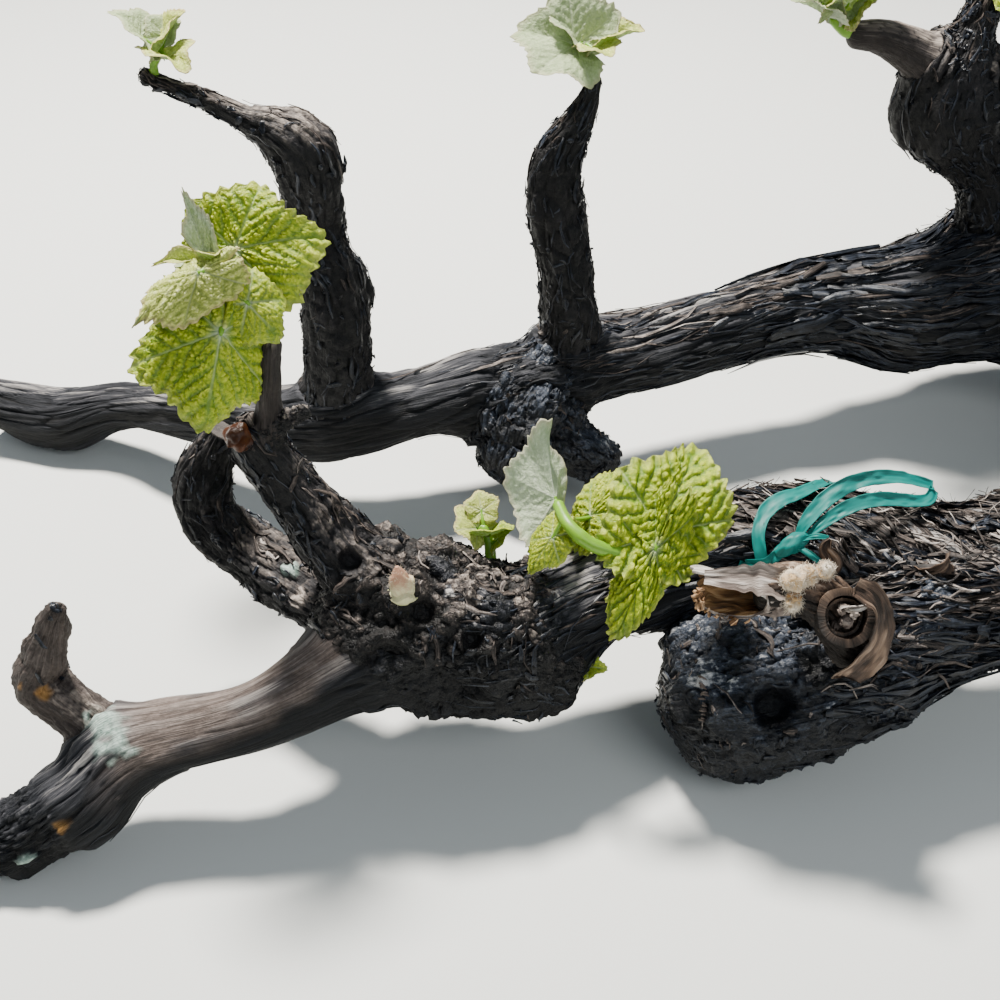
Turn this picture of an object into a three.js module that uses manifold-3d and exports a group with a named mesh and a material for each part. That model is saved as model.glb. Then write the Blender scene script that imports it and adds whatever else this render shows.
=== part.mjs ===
// An old grapevine limb in early spring, cut off flat behind the fork of its two cordon arms.
// The arms lie side by side with their spurs standing up, and each spur ends in young leaves.
// Millimetres, +Z up, resting on Z = 0. X runs along the arms, from their thin ends to the fork.
import * as THREE from "three";
import { mergeVertices } from "three/addons/utils/BufferGeometryUtils.js";
import Module from "manifold-3d";

const wasm = await Module();
wasm.setup();

// Driving dimensions
const CLEARANCE = 0.35; // gap left between two pieces that meet
const STEP = 12; // distance between the rings of a limb
const UPRIGHT = 30; // a limb that rises this far is turned by another reference, so that its rings don't twist
const DOME = 0.8; // how far a rounded end stands out, as a share of its radius
// Old wood swells and shrinks by this share of its radius, in slow waves of these lengths along the limb.
const GNARL = { amount: 0.1, waves: [107, 69, 44] };
const LEAF_THICKNESS = 0.7;
const LARGE_LEAF = 16; // a leaf at least this long has more points round its margin
const LARGE_LEAF_POINTS = 23;
const SMALL_LEAF_POINTS = 11;
const LEAF_MIDDLE = 0.3; // where the faces of a leaf meet, as a share of its length from its base
// A leaf's lobes stand this many degrees apart. The rest are shares: how much shorter the lobes beside the
// stalk are than the one at the tip, how deep the margin dips between lobes, and what the stalk's notch leaves.
const LOBES = { spacing: 62, shorter: 0.36, dip: 0.2, notch: 0.25 };
const STALK = { radius: 0.8, arch: 0.6 };
// A small leaf's stalk has a set length and a share of the leaf's besides. The pairs are ranges that each leaf
// takes its values from, in degrees or, for size, in shares of its shoot's small leaf length.
const SMALL_STALK = { length: 2, share: 0.45 };
const SMALL_LEAF = { spread: [0, 60], rise: [10, 65], size: [0.6, 1], bend: [10, 40] };
const MOST_SHARED = 0.04; // a small leaf is skipped where more of it than this would lie inside the others
const TIE_STEPS = 18; // stretches of tape round the winding, and along the bow
const GOLDEN_ANGLE = 137.5; // degrees between one small leaf and the next
const TO_ORIGIN = [-82.2, -21.5, 0.6]; // brings the limb's middle over the origin, and its feet to Z = 0

// Each limb is drawn through a few places along its middle: x, y, z and the radius there.
const STUMP = [
  [380, 57, 47.5, 44],
  [340, 57, 47.5, 44],
  [300, 55, 47, 36],
];
const CUT_X = 372; // where the saw went through the stump
const STUMP_WASTE = 200; // size of the block cut away past the saw cut
const FRONT_ARM = {
  cordon: [
    [318, 46, 46, 36],
    [285, 18, 47, 31],
    [245, -10, 50, 28],
    [168, -42, 51, 24],
    [118, -36, 51, 18.5],
    [88, -30, 52, 16.5],
    [36, -45, 46, 16],
    [0, -63, 42, 20],
    [-18, -63, 44, 24],
    [-36, -69, 42, 17.5],
    [-70, -88, 36, 10.5],
    [-104, -95, 29, 11.5],
    [-119, -106, 20, 13.5],
    [-136, -112, 11, 10.5],
    [-150, -114, 10, 10],
  ],
  burl: [
    [162, -47, 50, 20],
    [136, -56, 45, 21],
    [93, -68, 29, 23.5],
    [68, -70, 24, 24.5],
  ],
  headCrown: [
    [-40, -66, 46, 14],
    [-27, -62, 51, 22],
    [2, -63, 46, 17],
  ],
  headKeel: [
    [-16, -66, 35, 14],
    [10, -66, 33, 15],
  ],
};
const BACK_ARM = {
  cordon: [
    [320, 66, 46, 37],
    [298, 88, 48, 35],
    [260, 118, 51, 34],
    [212, 135, 52, 32.5],
    [180, 126, 51, 29],
    [157, 119, 50, 25],
    [118, 114, 52, 16.5],
    [38, 85, 46, 15.5],
    [-37, 61, 41, 13.5],
    [-74, 57, 36, 14],
    [-114, 71, 30, 10.5],
    [-148, 90, 22, 9],
    [-176, 95, 13, 12],
    [-205, 102, 16, 9.5],
  ],
  middleKnob: [
    [22, 80, 44, 15],
    [8, 64, 30, 20],
    [4, 56, 23, 14],
  ],
  lowerKnob: [
    [14, 64, 30, 12],
    [38, 58, 18, 9],
  ],
};
// A spur's first place lies inside the arm that it grows on.
const SPURS = {
  front_tall_spur: {
    on: "front_arm",
    wood: [
      [-24, -64, 48, 13],
      [-47, -55, 72, 10.5],
      [-57, -52, 86, 8.5],
      [-69, -51, 107, 6],
    ],
    cane: [
      [-65, -51, 100, 4.5],
      [-62, -51, 126, 3.3],
      [-59, -51, 142, 3],
    ],
    peg: [
      [-65, -51, 109, 3],
      [-53, -55, 118, 2.2],
    ],
  },
  front_hooked_spur: {
    on: "front_arm",
    behind: "front_tall_spur",
    wood: [
      [-36, -62, 44, 13],
      [-76, -33, 49, 9.5],
      [-89, -27, 59, 9],
      [-91, -24, 72, 8.5],
      [-84, -21, 88, 5.5],
    ],
  },
  front_stub_spur: {
    on: "front_arm",
    wood: [
      [-104, -96, 30, 9],
      [-130, -85, 44, 8],
      [-127, -85, 58, 6.5],
      [-121, -85, 73, 3.5],
    ],
  },
  front_cane_stub: {
    on: "front_arm",
    wood: [
      [104, -66, 44, 9],
      [99, -82, 60, 8.5],
      [88, -78, 72, 8],
      [57, -74, 73, 7],
    ],
    upperBud: [
      [89, -75, 77, 2.5],
      [88, -74, 82, 2.4],
    ],
    frontBud: [
      [79, -80, 72, 3.5],
      [78, -84, 74, 4],
    ],
  },
  back_left_spur: {
    on: "back_arm",
    wood: [
      [-62, 57, 38, 12],
      [-57, 60, 83, 12.5],
      [-61, 62, 111, 9],
      [-66, 62, 141, 11.5],
      [-85, 62, 154, 4],
      [-112, 64, 165, 2.2],
    ],
  },
  back_middle_spur: {
    on: "back_arm",
    wood: [
      [24, 80, 46, 12],
      [25, 80, 74, 11],
      [19, 80, 124, 9],
      [28, 80, 147, 4.5],
      [31, 80, 157, 2.8],
    ],
  },
  back_head_spur: {
    on: "back_arm",
    wood: [
      [196, 131, 60, 18],
      [184, 128, 100, 10.5],
      [164, 125, 132, 20],
      [168, 125, 158, 8],
      [171, 125, 170, 5.5],
    ],
    leftCane: [
      [164, 125, 142, 11],
      [138, 122, 156, 6.5],
      [126, 122, 158, 5],
    ],
    knuckle: [
      [176, 126, 138, 12],
      [190, 129, 131, 9],
    ],
  },
};
// A leaf that stands out is set by its base, the way its tip and its upper face point, its length from base
// to tip, its width as a share of the usual, and how far its halves fold up and its tip curls down, in degrees.
// The rest follow smallLeaves.
const SHOOTS = {
  tall_spur_shoot: {
    on: "front_tall_spur",
    stem: [
      [-68, -53, 104, 2.6],
      [-73, -56, 118, 2.3],
      [-75, -52, 140, 2],
      [-74, -46, 157, 1.6],
    ],
    leaves: [
      { base: [-68, -39, 159], tip: [10, -1, 2], face: [1, -8, 7], length: 21, fold: 10, curl: 20 },
      { base: [-72, -60, 145], tip: [-1, -7, -7], face: [0, -7, 7], length: 26, fold: 8, curl: 10 },
      { base: [-72, -52, 159], tip: [-9, -4, -2], face: [-2, -3, 9], length: 21, fold: -30, curl: 20 },
      { base: [-76, -42, 157], tip: [-4, 5, 8], face: [1, 7, -6], length: 18, fold: 60, curl: -10 },
      { base: [-80, -42, 155], tip: [-9, 1, 4], face: [2, 7, -5], length: 12, fold: 55, curl: 20 },
    ],
    small: { count: 3, length: 10, seed: 3 },
  },
  cane_stub_shoot: {
    on: "front_cane_stub",
    stem: [
      [58, -74, 73, 3],
      [40, -64, 69, 2.6],
      [25, -53, 72, 2.2],
      [17, -48, 80, 1.8],
    ],
    leaves: [
      { base: [43, -57, 75], tip: [5, 6, 6], face: [-2, -7, 7], length: 32, fold: 10, curl: 15 },
      { base: [43, -60, 75], tip: [-3, -7, -6], face: [-6, -4, 8], length: 30, width: 0.6, fold: -40, curl: 15 },
      { base: [16, -46, 82], tip: [-2, 7, 6], face: [-6, 5, -6], length: 25, width: 0.8, fold: 40, curl: 5 },
      { base: [24, -47, 74], tip: [6, 6, 5], face: [-5, -4, 7], length: 21, fold: 24, curl: 15 },
      { base: [18, -53, 74], tip: [-6, -6, -5], face: [-3, -4, 8], length: 16, fold: -25, curl: 15 },
    ],
    small: { count: 0 },
  },
  front_head_shoot: {
    on: "front_arm",
    stem: [
      [-3, -56, 50, 2.2],
      [-3, -44, 60, 1.8],
      [-5, -40, 66, 1.3],
    ],
    leaves: [],
    small: { count: 4, length: 14, seed: 5 },
  },
  back_left_shoot: {
    on: "back_left_spur",
    stem: [
      [-109, 64, 164, 1.8],
      [-109, 64, 169, 1.5],
      [-106, 64, 173, 1.2],
    ],
    leaves: [],
    small: { count: 4, length: 13, seed: 1 },
  },
  back_middle_shoot: {
    on: "back_middle_spur",
    stem: [
      [31, 80, 155, 2.4],
      [30, 80, 163, 2],
      [27, 79, 170, 1.5],
    ],
    leaves: [
      { base: [24, 78, 170], tip: [-8, 1, 3], face: [2, -7, 7], length: 22, fold: 15, curl: 30 },
    ],
    small: { count: 4, length: 16, seed: 2 },
  },
  back_left_cane_shoot: {
    on: "back_head_spur",
    stem: [
      [128, 122, 158, 3],
      [121, 121, 160, 2.4],
      [116, 120, 164, 1.8],
    ],
    leaves: [],
    small: { count: 5, length: 17, seed: 4 },
  },
  back_head_top_shoot: {
    on: "back_head_spur",
    stem: [
      [171, 125, 168, 2.6],
      [173, 125, 175, 2.1],
      [174, 124, 182, 1.5],
    ],
    leaves: [
      { base: [177, 124, 182], tip: [8, 0, 3], face: [-1, -7, 7], length: 20, fold: 15, curl: 25 },
    ],
    small: { count: 3, length: 15, seed: 6 },
  },
};
const HEAD_BUD = [
  [-26, -68, 64, 3.5],
  [-27, -73, 70, 4.2],
  [-28, -74, 76, 2.5],
];
// The tape is wound once round the cordon beside its burl, slanting along it, and tied on top in a flat bow.
const TIE = {
  middle: [86, -32, 52], // of the winding
  radius: 20,
  slant: 12, // how far along X the winding runs to each side
  width: 6,
  thickness: 1,
  knot: [
    [80, -50, 62, 2.4],
    [86, -48, 67, 3.2],
    [90, -45, 69, 2.2],
  ],
  bow: [
    [86, -48, 68],
    [92, -41, 75],
    [106, -36, 80],
    [127, -38, 77],
    [106, -43, 73],
    [89, -47, 69],
  ],
};
const LOOKS = {
  bark: { color: 0x2b2725, roughness: 0.92, metalness: 0 },
  cane: { color: 0x6b4f3c, roughness: 0.8, metalness: 0 },
  leaf: { color: 0x9db53a, roughness: 0.6, metalness: 0 },
  bud: { color: 0xd9cfae, roughness: 0.9, metalness: 0 },
  tape: { color: 0x0fa08c, roughness: 0.35, metalness: 0 },
};

const vector = (p) => new THREE.Vector3(p[0], p[1], p[2]);

// Catmull-Rom through the places, each of any number of values, at share t of the span from b to c.
function between(a, b, c, d, t) {
  return b.map(
    (value, i) =>
      0.5 *
      (2 * value +
        (c[i] - a[i]) * t +
        (2 * a[i] - 5 * value + 4 * c[i] - d[i]) * t * t +
        (3 * value - a[i] - 3 * c[i] + d[i]) * t * t * t),
  );
}

// Places about STEP apart along the smooth line through the given ones, with the distance run so far.
function stations(places, step) {
  const line = [];
  for (let i = 0; i < places.length - 1; i++) {
    const b = places[i];
    const c = places[i + 1];
    const a = places[i - 1] ?? b;
    const d = places[i + 2] ?? c;
    const parts = Math.max(1, Math.round(vector(b).distanceTo(vector(c)) / step));
    for (let k = 0; k < parts; k++) line.push(between(a, b, c, d, k / parts));
  }
  line.push(places[places.length - 1]);
  let run = 0;
  return line.map((place, i) => {
    if (i > 0) run += vector(place).distanceTo(vector(line[i - 1]));
    return { middle: vector(place), radius: place[3], run };
  });
}

// Old wood is never round: slow swellings run round and along it.
function gnarled(run, angle, amount) {
  const [first, second, third] = GNARL.waves.map((length) => (2 * Math.PI * run) / length);
  const oval = Math.sin(2 * angle + first) / 2;
  const ridges = Math.sin(3 * angle - second + 2) / 3;
  const bulges = (Math.sin(third) * Math.cos(angle + 1)) / 3;
  return 1 + amount * (oval + ridges + bulges);
}

// The vertices that touch are merged, so that the surface is one closed mesh.
function fromGeometry(geometry) {
  geometry.deleteAttribute("normal");
  geometry.deleteAttribute("uv");
  const merged = mergeVertices(geometry, 1e-4);
  return new wasm.Manifold(
    new wasm.Mesh({
      numProp: 3,
      vertProperties: merged.attributes.position.array,
      triVerts: new Uint32Array(merged.index.array),
    }),
  );
}

function toSolid(points, faces) {
  const geometry = new THREE.BufferGeometry();
  geometry.setAttribute("position", new THREE.BufferAttribute(new Float32Array(points.flat()), 3));
  geometry.setIndex(faces.flat());
  return fromGeometry(geometry);
}

// A closed limb of rings square to its line. grow makes it thicker all over, for cutting its neighbours clear.
function limb(places, { sides = 12, amount = GNARL.amount, grow = 0, round = false, step = STEP } = {}) {
  const line = stations(places, step);
  const rings = line.map((station, i) => {
    const before = line[Math.max(i - 1, 0)].middle;
    const after = line[Math.min(i + 1, line.length - 1)].middle;
    return { ...station, along: after.clone().sub(before).normalize(), radius: station.radius + grow };
  });
  if (grow > 0) {
    rings[0].middle = rings[0].middle.clone().addScaledVector(rings[0].along, -grow);
    const last = rings[rings.length - 1];
    last.middle = last.middle.clone().addScaledVector(last.along, grow);
  }
  if (round) {
    const last = rings[rings.length - 1];
    for (const rise of [30, 60]) {
      const turn = THREE.MathUtils.degToRad(rise);
      rings.push({
        ...last,
        middle: last.middle.clone().addScaledVector(last.along, DOME * last.radius * Math.sin(turn)),
        radius: last.radius * Math.cos(turn),
      });
    }
  }
  const upright = Math.abs(rings[0].middle.z - rings[rings.length - 1].middle.z) > UPRIGHT;
  const reference = upright ? new THREE.Vector3(0, 1, 0) : new THREE.Vector3(0, 0, 1);
  const points = [];
  for (const ring of rings) {
    const across = reference.clone().addScaledVector(ring.along, -reference.dot(ring.along)).normalize();
    const other = ring.along.clone().cross(across);
    for (let j = 0; j < sides; j++) {
      const angle = (2 * Math.PI * j) / sides;
      const reach = ring.radius * gnarled(ring.run, angle, amount);
      const point = ring.middle.clone();
      point.addScaledVector(across, reach * Math.cos(angle)).addScaledVector(other, reach * Math.sin(angle));
      points.push(point.toArray());
    }
  }
  const faces = [];
  for (let i = 0; i < rings.length - 1; i++) {
    for (let j = 0; j < sides; j++) {
      const a = i * sides + j;
      const b = i * sides + ((j + 1) % sides);
      faces.push([a, b, b + sides], [a, b + sides, a + sides]);
    }
  }
  const first = points.push(rings[0].middle.toArray()) - 1;
  const last = rings[rings.length - 1];
  const tipRise = round ? last.radius / 2 : 0;
  const end = points.push(last.middle.clone().addScaledVector(last.along, tipRise).toArray()) - 1;
  const top = (rings.length - 1) * sides;
  for (let j = 0; j < sides; j++) {
    const next = (j + 1) % sides;
    faces.push([first, next, j], [end, top + j, top + next]);
  }
  return toSolid(points, faces);
}

const union = (solids) => solids.reduce((all, one) => all.add(one));

// A hollow that joining has sealed is filled, and a loose scrap is dropped.
function wholeBody(solid) {
  return solid.decompose().reduce((best, one) => (one.volume() > best.volume() ? one : best));
}

// Everything past the saw cut is taken off, so the stump ends in a flat face square to X.
function stumpSolid(grow = 0) {
  const waste = new THREE.BoxGeometry(STUMP_WASTE, STUMP_WASTE, STUMP_WASTE);
  waste.translate(CUT_X + STUMP_WASTE / 2, STUMP[0][1], STUMP[0][2]);
  return limb(STUMP, { sides: 18, grow }).subtract(fromGeometry(waste));
}

const frontArmSolid = (grow = 0) =>
  union([
    limb(FRONT_ARM.cordon, { sides: 12, grow }),
    limb(FRONT_ARM.burl, { sides: 14, grow, round: true }),
    limb(FRONT_ARM.headCrown, { sides: 12, grow, round: true }),
    limb(FRONT_ARM.headKeel, { sides: 10, grow, round: true }),
  ]);

const backArmSolid = (grow = 0) =>
  union([
    limb(BACK_ARM.cordon, { sides: 12, grow }),
    limb(BACK_ARM.middleKnob, { sides: 12, grow, round: true }),
    limb(BACK_ARM.lowerKnob, { sides: 10, grow, round: true }),
  ]);

const CARRIERS = { front_arm: frontArmSolid, back_arm: backArmSolid };

function spurSolid(name, grow = 0) {
  const { on, behind, wood, ...twigs } = SPURS[name];
  const pieces = [limb(wood, { sides: 10, grow })];
  for (const twig of Object.values(twigs)) {
    pieces.push(limb(twig, { sides: 7, amount: GNARL.amount / 2, grow, round: true }));
  }
  const spur = union(pieces).subtract(CARRIERS[on](CLEARANCE));
  return behind ? spur.subtract(spurSolid(behind, CLEARANCE)) : spur;
}

// How far a leaf reaches from its base at an angle from its tip, as a share of its length:
// five blunt lobes that shorten towards the stalk, where the margin turns in to a notch.
function leafReach(angle) {
  const turn = Math.abs(angle) / Math.PI;
  const lobe = 0.5 + 0.5 * Math.cos((angle * 360) / LOBES.spacing);
  const notch = Math.min(1, LOBES.notch + 9 * (1 - turn));
  return (1 - LOBES.shorter * turn * turn) * (1 - LOBES.dip * (1 - lobe)) * notch;
}

// A leaf is a thin closed sheet: its halves fold up from the midrib and its tip curls down.
// Its faces fan out from the middle of the blade, so that few of them meet the stalk.
function leaf({ base, tip, face, length, width = 1, fold, curl }) {
  const count = length < LARGE_LEAF ? SMALL_LEAF_POINTS : LARGE_LEAF_POINTS;
  const forward = vector(tip).normalize();
  const upward = vector(face).addScaledVector(forward, -vector(face).dot(forward)).normalize();
  const sideways = upward.clone().cross(forward);
  const lift = THREE.MathUtils.degToRad(fold);
  const bend = THREE.MathUtils.degToRad(curl) / length;
  const place = (x, y, side) => {
    const level = (side * LEAF_THICKNESS - bend * x * Math.abs(x)) / 2;
    return vector(base)
      .addScaledVector(forward, x)
      .addScaledVector(sideways, y * Math.cos(lift))
      .addScaledVector(upward, Math.abs(y) * Math.sin(lift) + level)
      .toArray();
  };
  const points = [];
  const sheet = (side) => {
    const start = points.push(place(length * LEAF_MIDDLE, 0, side)) - 1;
    for (let k = 0; k < count; k++) {
      const angle = -Math.PI + (2 * Math.PI * (k + 0.5)) / count;
      const reach = leafReach(angle) * length;
      points.push(place(reach * Math.cos(angle), reach * Math.sin(angle) * width, side));
    }
    return start;
  };
  const over = sheet(1);
  const under = sheet(-1);
  const faces = [];
  for (let k = 0; k < count; k++) {
    const here = 1 + k;
    const next = 1 + ((k + 1) % count);
    faces.push(
      [over, over + here, over + next],
      [under, under + next, under + here],
      [over + here, under + here, under + next],
      [over + here, under + next, over + next],
    );
  }
  return toSolid(points, faces);
}

// A leaf's stalk leaves the stem at its nearest station and ends a little way inside the blade's base.
function petiole(stem, { base, tip, length }) {
  const line = stations(stem, 3).map((station) => station.middle);
  const target = vector(base).addScaledVector(vector(tip).normalize(), 1);
  const start = line.reduce((best, middle) =>
    middle.distanceTo(target) < best.distanceTo(target) ? middle : best,
  );
  const middle = start.clone().lerp(target, 0.5).add(new THREE.Vector3(0, 0, STALK.arch));
  const places = [start, middle, target].map((p) => [...p.toArray(), STALK.radius]);
  return limb(places, { sides: 4, amount: 0, step: length });
}

const within = ([low, high], share) => low + (high - low) * share;

// A repeatable number from 0 to 1 for each index and seed.
function chance(index, seed) {
  const value = Math.sin(index * 12.9898 + seed * 78.233) * 43758.5453;
  return value - Math.floor(value);
}

// Small leaves leave the upper half of the stem one golden angle apart, and look up.
function smallLeaves({ stem, small }) {
  const line = stations(stem, 2);
  const leaves = [];
  for (let k = 0; k < small.count; k++) {
    const pick = (range, draw) => within(range, chance(k + 20 * draw, small.seed));
    const share = 0.5 + (0.5 * (k + 1)) / small.count;
    const from = line[Math.round(share * (line.length - 1))].middle;
    const turn = THREE.MathUtils.degToRad(GOLDEN_ANGLE * k + pick(SMALL_LEAF.spread, 0));
    const rise = THREE.MathUtils.degToRad(pick(SMALL_LEAF.rise, 1));
    const tip = new THREE.Vector3(
      Math.cos(turn) * Math.cos(rise),
      Math.sin(turn) * Math.cos(rise),
      Math.sin(rise),
    );
    const length = small.length * pick(SMALL_LEAF.size, 2);
    const stalk = SMALL_STALK.length + SMALL_STALK.share * length;
    leaves.push({
      base: from.clone().addScaledVector(tip, stalk).toArray(),
      tip: tip.toArray(),
      face: [0, 0, 1],
      length,
      fold: pick(SMALL_LEAF.bend, 3),
      curl: pick(SMALL_LEAF.bend, 4),
    });
  }
  return leaves;
}

// The shoot keeps clear of every limb, and a small leaf that would touch one is skipped.
function shootSolid({ on, stem, leaves, small }) {
  const limbs = [frontArmSolid(CLEARANCE), backArmSolid(CLEARANCE)];
  if (SPURS[on]) limbs.push(spurSolid(on, CLEARANCE));
  const wood = union(limbs);
  let shoot = limb(stem, { sides: 6, amount: 0, round: true });
  for (const one of leaves) shoot = shoot.add(leaf(one)).add(petiole(stem, one));
  for (const one of smallLeaves({ stem, small })) {
    const blade = leaf(one);
    const touches = blade.intersect(wood).volume() > 0;
    const crowded = blade.intersect(shoot).volume() > MOST_SHARED * blade.volume();
    if (!touches && !crowded) shoot = shoot.add(blade).add(petiole(stem, one));
  }
  return shoot.subtract(wood);
}

// A flat tape: a four-cornered section carried along the places, its flat side facing the outward ways.
function tape(places, outward, closed) {
  const count = places.length;
  const points = [];
  places.forEach((place, i) => {
    const before = closed ? places[(i + count - 1) % count] : places[Math.max(i - 1, 0)];
    const after = closed ? places[(i + 1) % count] : places[Math.min(i + 1, count - 1)];
    const along = after.clone().sub(before).normalize();
    const up = outward[i].clone().addScaledVector(along, -outward[i].dot(along)).normalize();
    const across = up.clone().cross(along);
    for (const [side, level] of [
      [-1, -1],
      [1, -1],
      [1, 1],
      [-1, 1],
    ]) {
      const corner = place.clone().addScaledVector(across, (side * TIE.width) / 2);
      points.push(corner.addScaledVector(up, (level * TIE.thickness) / 2).toArray());
    }
  });
  const faces = [];
  for (let i = 0; i < (closed ? count : count - 1); i++) {
    for (let j = 0; j < 4; j++) {
      const a = i * 4 + j;
      const b = i * 4 + ((j + 1) % 4);
      const next = ((i + 1) % count) * 4;
      faces.push([a, b, next + (b % 4)], [a, next + (b % 4), next + j]);
    }
  }
  if (!closed) {
    const top = (count - 1) * 4;
    faces.push([0, 2, 1], [0, 3, 2], [top, top + 1, top + 2], [top, top + 2, top + 3]);
  }
  return toSolid(points, faces);
}

function tieSolid() {
  const middle = vector(TIE.middle);
  const ring = [];
  const ringOutward = [];
  for (let k = 0; k < TIE_STEPS; k++) {
    const angle = (2 * Math.PI * k) / TIE_STEPS;
    const outward = new THREE.Vector3(0, Math.cos(angle), Math.sin(angle));
    const slide = new THREE.Vector3(TIE.slant * Math.cos(angle - Math.PI / 4), 0, 0);
    ring.push(middle.clone().addScaledVector(outward, TIE.radius).add(slide));
    ringOutward.push(outward);
  }
  const bow = new THREE.CatmullRomCurve3(TIE.bow.map(vector)).getPoints(TIE_STEPS);
  const bowOutward = bow.map(() => new THREE.Vector3(0, -1, 1));
  const pieces = [tape(ring, ringOutward, true), tape(bow, bowOutward, false)];
  pieces.push(limb(TIE.knot, { sides: 8, amount: 0, round: true }));
  return union(pieces)
    .subtract(frontArmSolid(CLEARANCE))
    .subtract(spurSolid("front_cane_stub", CLEARANCE));
}

function addPiece(group, name, solid, look) {
  const mesh = wholeBody(solid).getMesh();
  const geometry = new THREE.BufferGeometry();
  geometry.setAttribute("position", new THREE.BufferAttribute(new Float32Array(mesh.vertProperties), 3));
  geometry.setIndex(new THREE.BufferAttribute(new Uint32Array(mesh.triVerts), 1));
  const piece = new THREE.Mesh(geometry, new THREE.MeshStandardMaterial(look));
  piece.name = name;
  group.add(piece);
}

const grapevine = new THREE.Group();
grapevine.name = "grapevine_limb";
grapevine.position.set(...TO_ORIGIN);

const nextToStump = stumpSolid(CLEARANCE);
const nextToFrontArm = frontArmSolid(CLEARANCE);
addPiece(grapevine, "head_stump", stumpSolid(), LOOKS.bark);
addPiece(grapevine, "front_arm", frontArmSolid().subtract(nextToStump), LOOKS.bark);
addPiece(grapevine, "back_arm", backArmSolid().subtract(nextToStump).subtract(nextToFrontArm), LOOKS.bark);
for (const name of Object.keys(SPURS)) {
  addPiece(grapevine, name, spurSolid(name), name === "front_cane_stub" ? LOOKS.cane : LOOKS.bark);
}
for (const [name, shoot] of Object.entries(SHOOTS)) {
  addPiece(grapevine, name, shootSolid(shoot), LOOKS.leaf);
}
const bud = limb(HEAD_BUD, { sides: 8, amount: 0, round: true, step: 4 });
addPiece(grapevine, "front_head_bud", bud.subtract(frontArmSolid(CLEARANCE)), LOOKS.bud);
addPiece(grapevine, "tie_tape", tieSolid(), LOOKS.tape);

export default grapevine;
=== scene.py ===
import math

import bpy
import numpy as np
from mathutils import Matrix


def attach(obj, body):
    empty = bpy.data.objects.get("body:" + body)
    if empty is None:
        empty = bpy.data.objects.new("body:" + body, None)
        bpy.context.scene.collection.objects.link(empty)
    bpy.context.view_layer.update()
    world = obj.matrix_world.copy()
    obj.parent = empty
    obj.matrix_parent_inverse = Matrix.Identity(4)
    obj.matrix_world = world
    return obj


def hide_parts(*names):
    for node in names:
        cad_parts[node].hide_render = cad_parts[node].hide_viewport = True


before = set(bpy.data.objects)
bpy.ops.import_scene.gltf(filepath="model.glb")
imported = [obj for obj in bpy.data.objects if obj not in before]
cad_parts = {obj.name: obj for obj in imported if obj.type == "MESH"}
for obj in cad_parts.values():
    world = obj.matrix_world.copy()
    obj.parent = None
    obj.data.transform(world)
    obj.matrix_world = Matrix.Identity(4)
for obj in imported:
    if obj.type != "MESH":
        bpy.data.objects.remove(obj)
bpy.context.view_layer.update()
print("frame loaded")

# Places are drawn in millimetres. toOrigin brings them over the frame's origin.
toOrigin = np.array([-82.2, -21.5, 0.6])
metre = 0.001
ground = -0.55  # the floor, with a little room
fullTurn = 2 * math.pi


# Numbers and noise


def unit(v):
    return v / np.maximum(np.linalg.norm(v, axis=-1, keepdims=True), 1e-9)


def soft(low, high, x):
    # 0 below low, 1 above high, with a smooth step between
    t = np.clip((x - low) / (high - low), 0, 1)
    return t * t * (3 - 2 * t)


def cellValue(i, j, seed):
    # a repeatable number from 0 to 1 for each pair of whole numbers, by mixing their bits
    n = (i.astype(np.int64) * 374761393 + j.astype(np.int64) * 668265263 + seed * 144269504) & 0xFFFFFFFF
    n = ((n ^ (n >> 13)) * 1274126177) & 0xFFFFFFFF
    return ((n ^ (n >> 16)) & 0xFFFFFF) / 0xFFFFFF


def wave(u, v, around, seed):
    # lattice values blended by the smooth step of the place between them; v repeats after `around` cells
    i, j = np.floor(u), np.floor(v)
    a, b = u - i, v - j
    a, b = a * a * (3 - 2 * a), b * b * (3 - 2 * b)
    near, far = j % around, (j + 1) % around
    low = cellValue(i, near, seed) * (1 - b) + cellValue(i, far, seed) * b
    high = cellValue(i + 1, near, seed) * (1 - b) + cellValue(i + 1, far, seed) * b
    return low * (1 - a) + high * a


def cells(u, v, around, seed):
    # one scattered point in each lattice cell: the distances to the nearest two, and the nearest one's
    # value and offset along u
    i, j = np.floor(u), np.floor(v)
    nearest = np.full(u.shape, 9.0)
    second = nearest.copy()
    value = np.zeros(u.shape)
    offset = np.zeros(u.shape)
    for di in (-1, 0, 1):
        for dj in (-1, 0, 1):
            ci, cj = i + di, j + dj
            key = cj % around
            du = u - ci - cellValue(ci, key, seed)
            dv = v - cj - cellValue(ci, key, seed + 1)
            distance = np.hypot(du, dv)
            closer = distance < nearest
            second = np.where(closer, nearest, np.minimum(second, distance))
            value = np.where(closer, cellValue(ci, key, seed + 2), value)
            offset = np.where(closer, du, offset)
            nearest = np.where(closer, distance, nearest)
    return nearest, second, value, offset


def latticeValue(cell, seed):
    # a repeatable number for each cell of a lattice in space
    return cellValue(cell[..., 0], cell[..., 1] + 1013 * cell[..., 2], seed)


def waveInSpace(points, seed):
    # lattice values blended by the smooth step of the place between them, all three ways
    low = np.floor(points)
    t = points - low
    t = t * t * (3 - 2 * t)
    total = 0
    for corner in np.ndindex(2, 2, 2):
        share = np.prod(np.where(np.array(corner) == 1, t, 1 - t), axis=-1)
        total = total + share * latticeValue(low + corner, seed)
    return total


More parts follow.
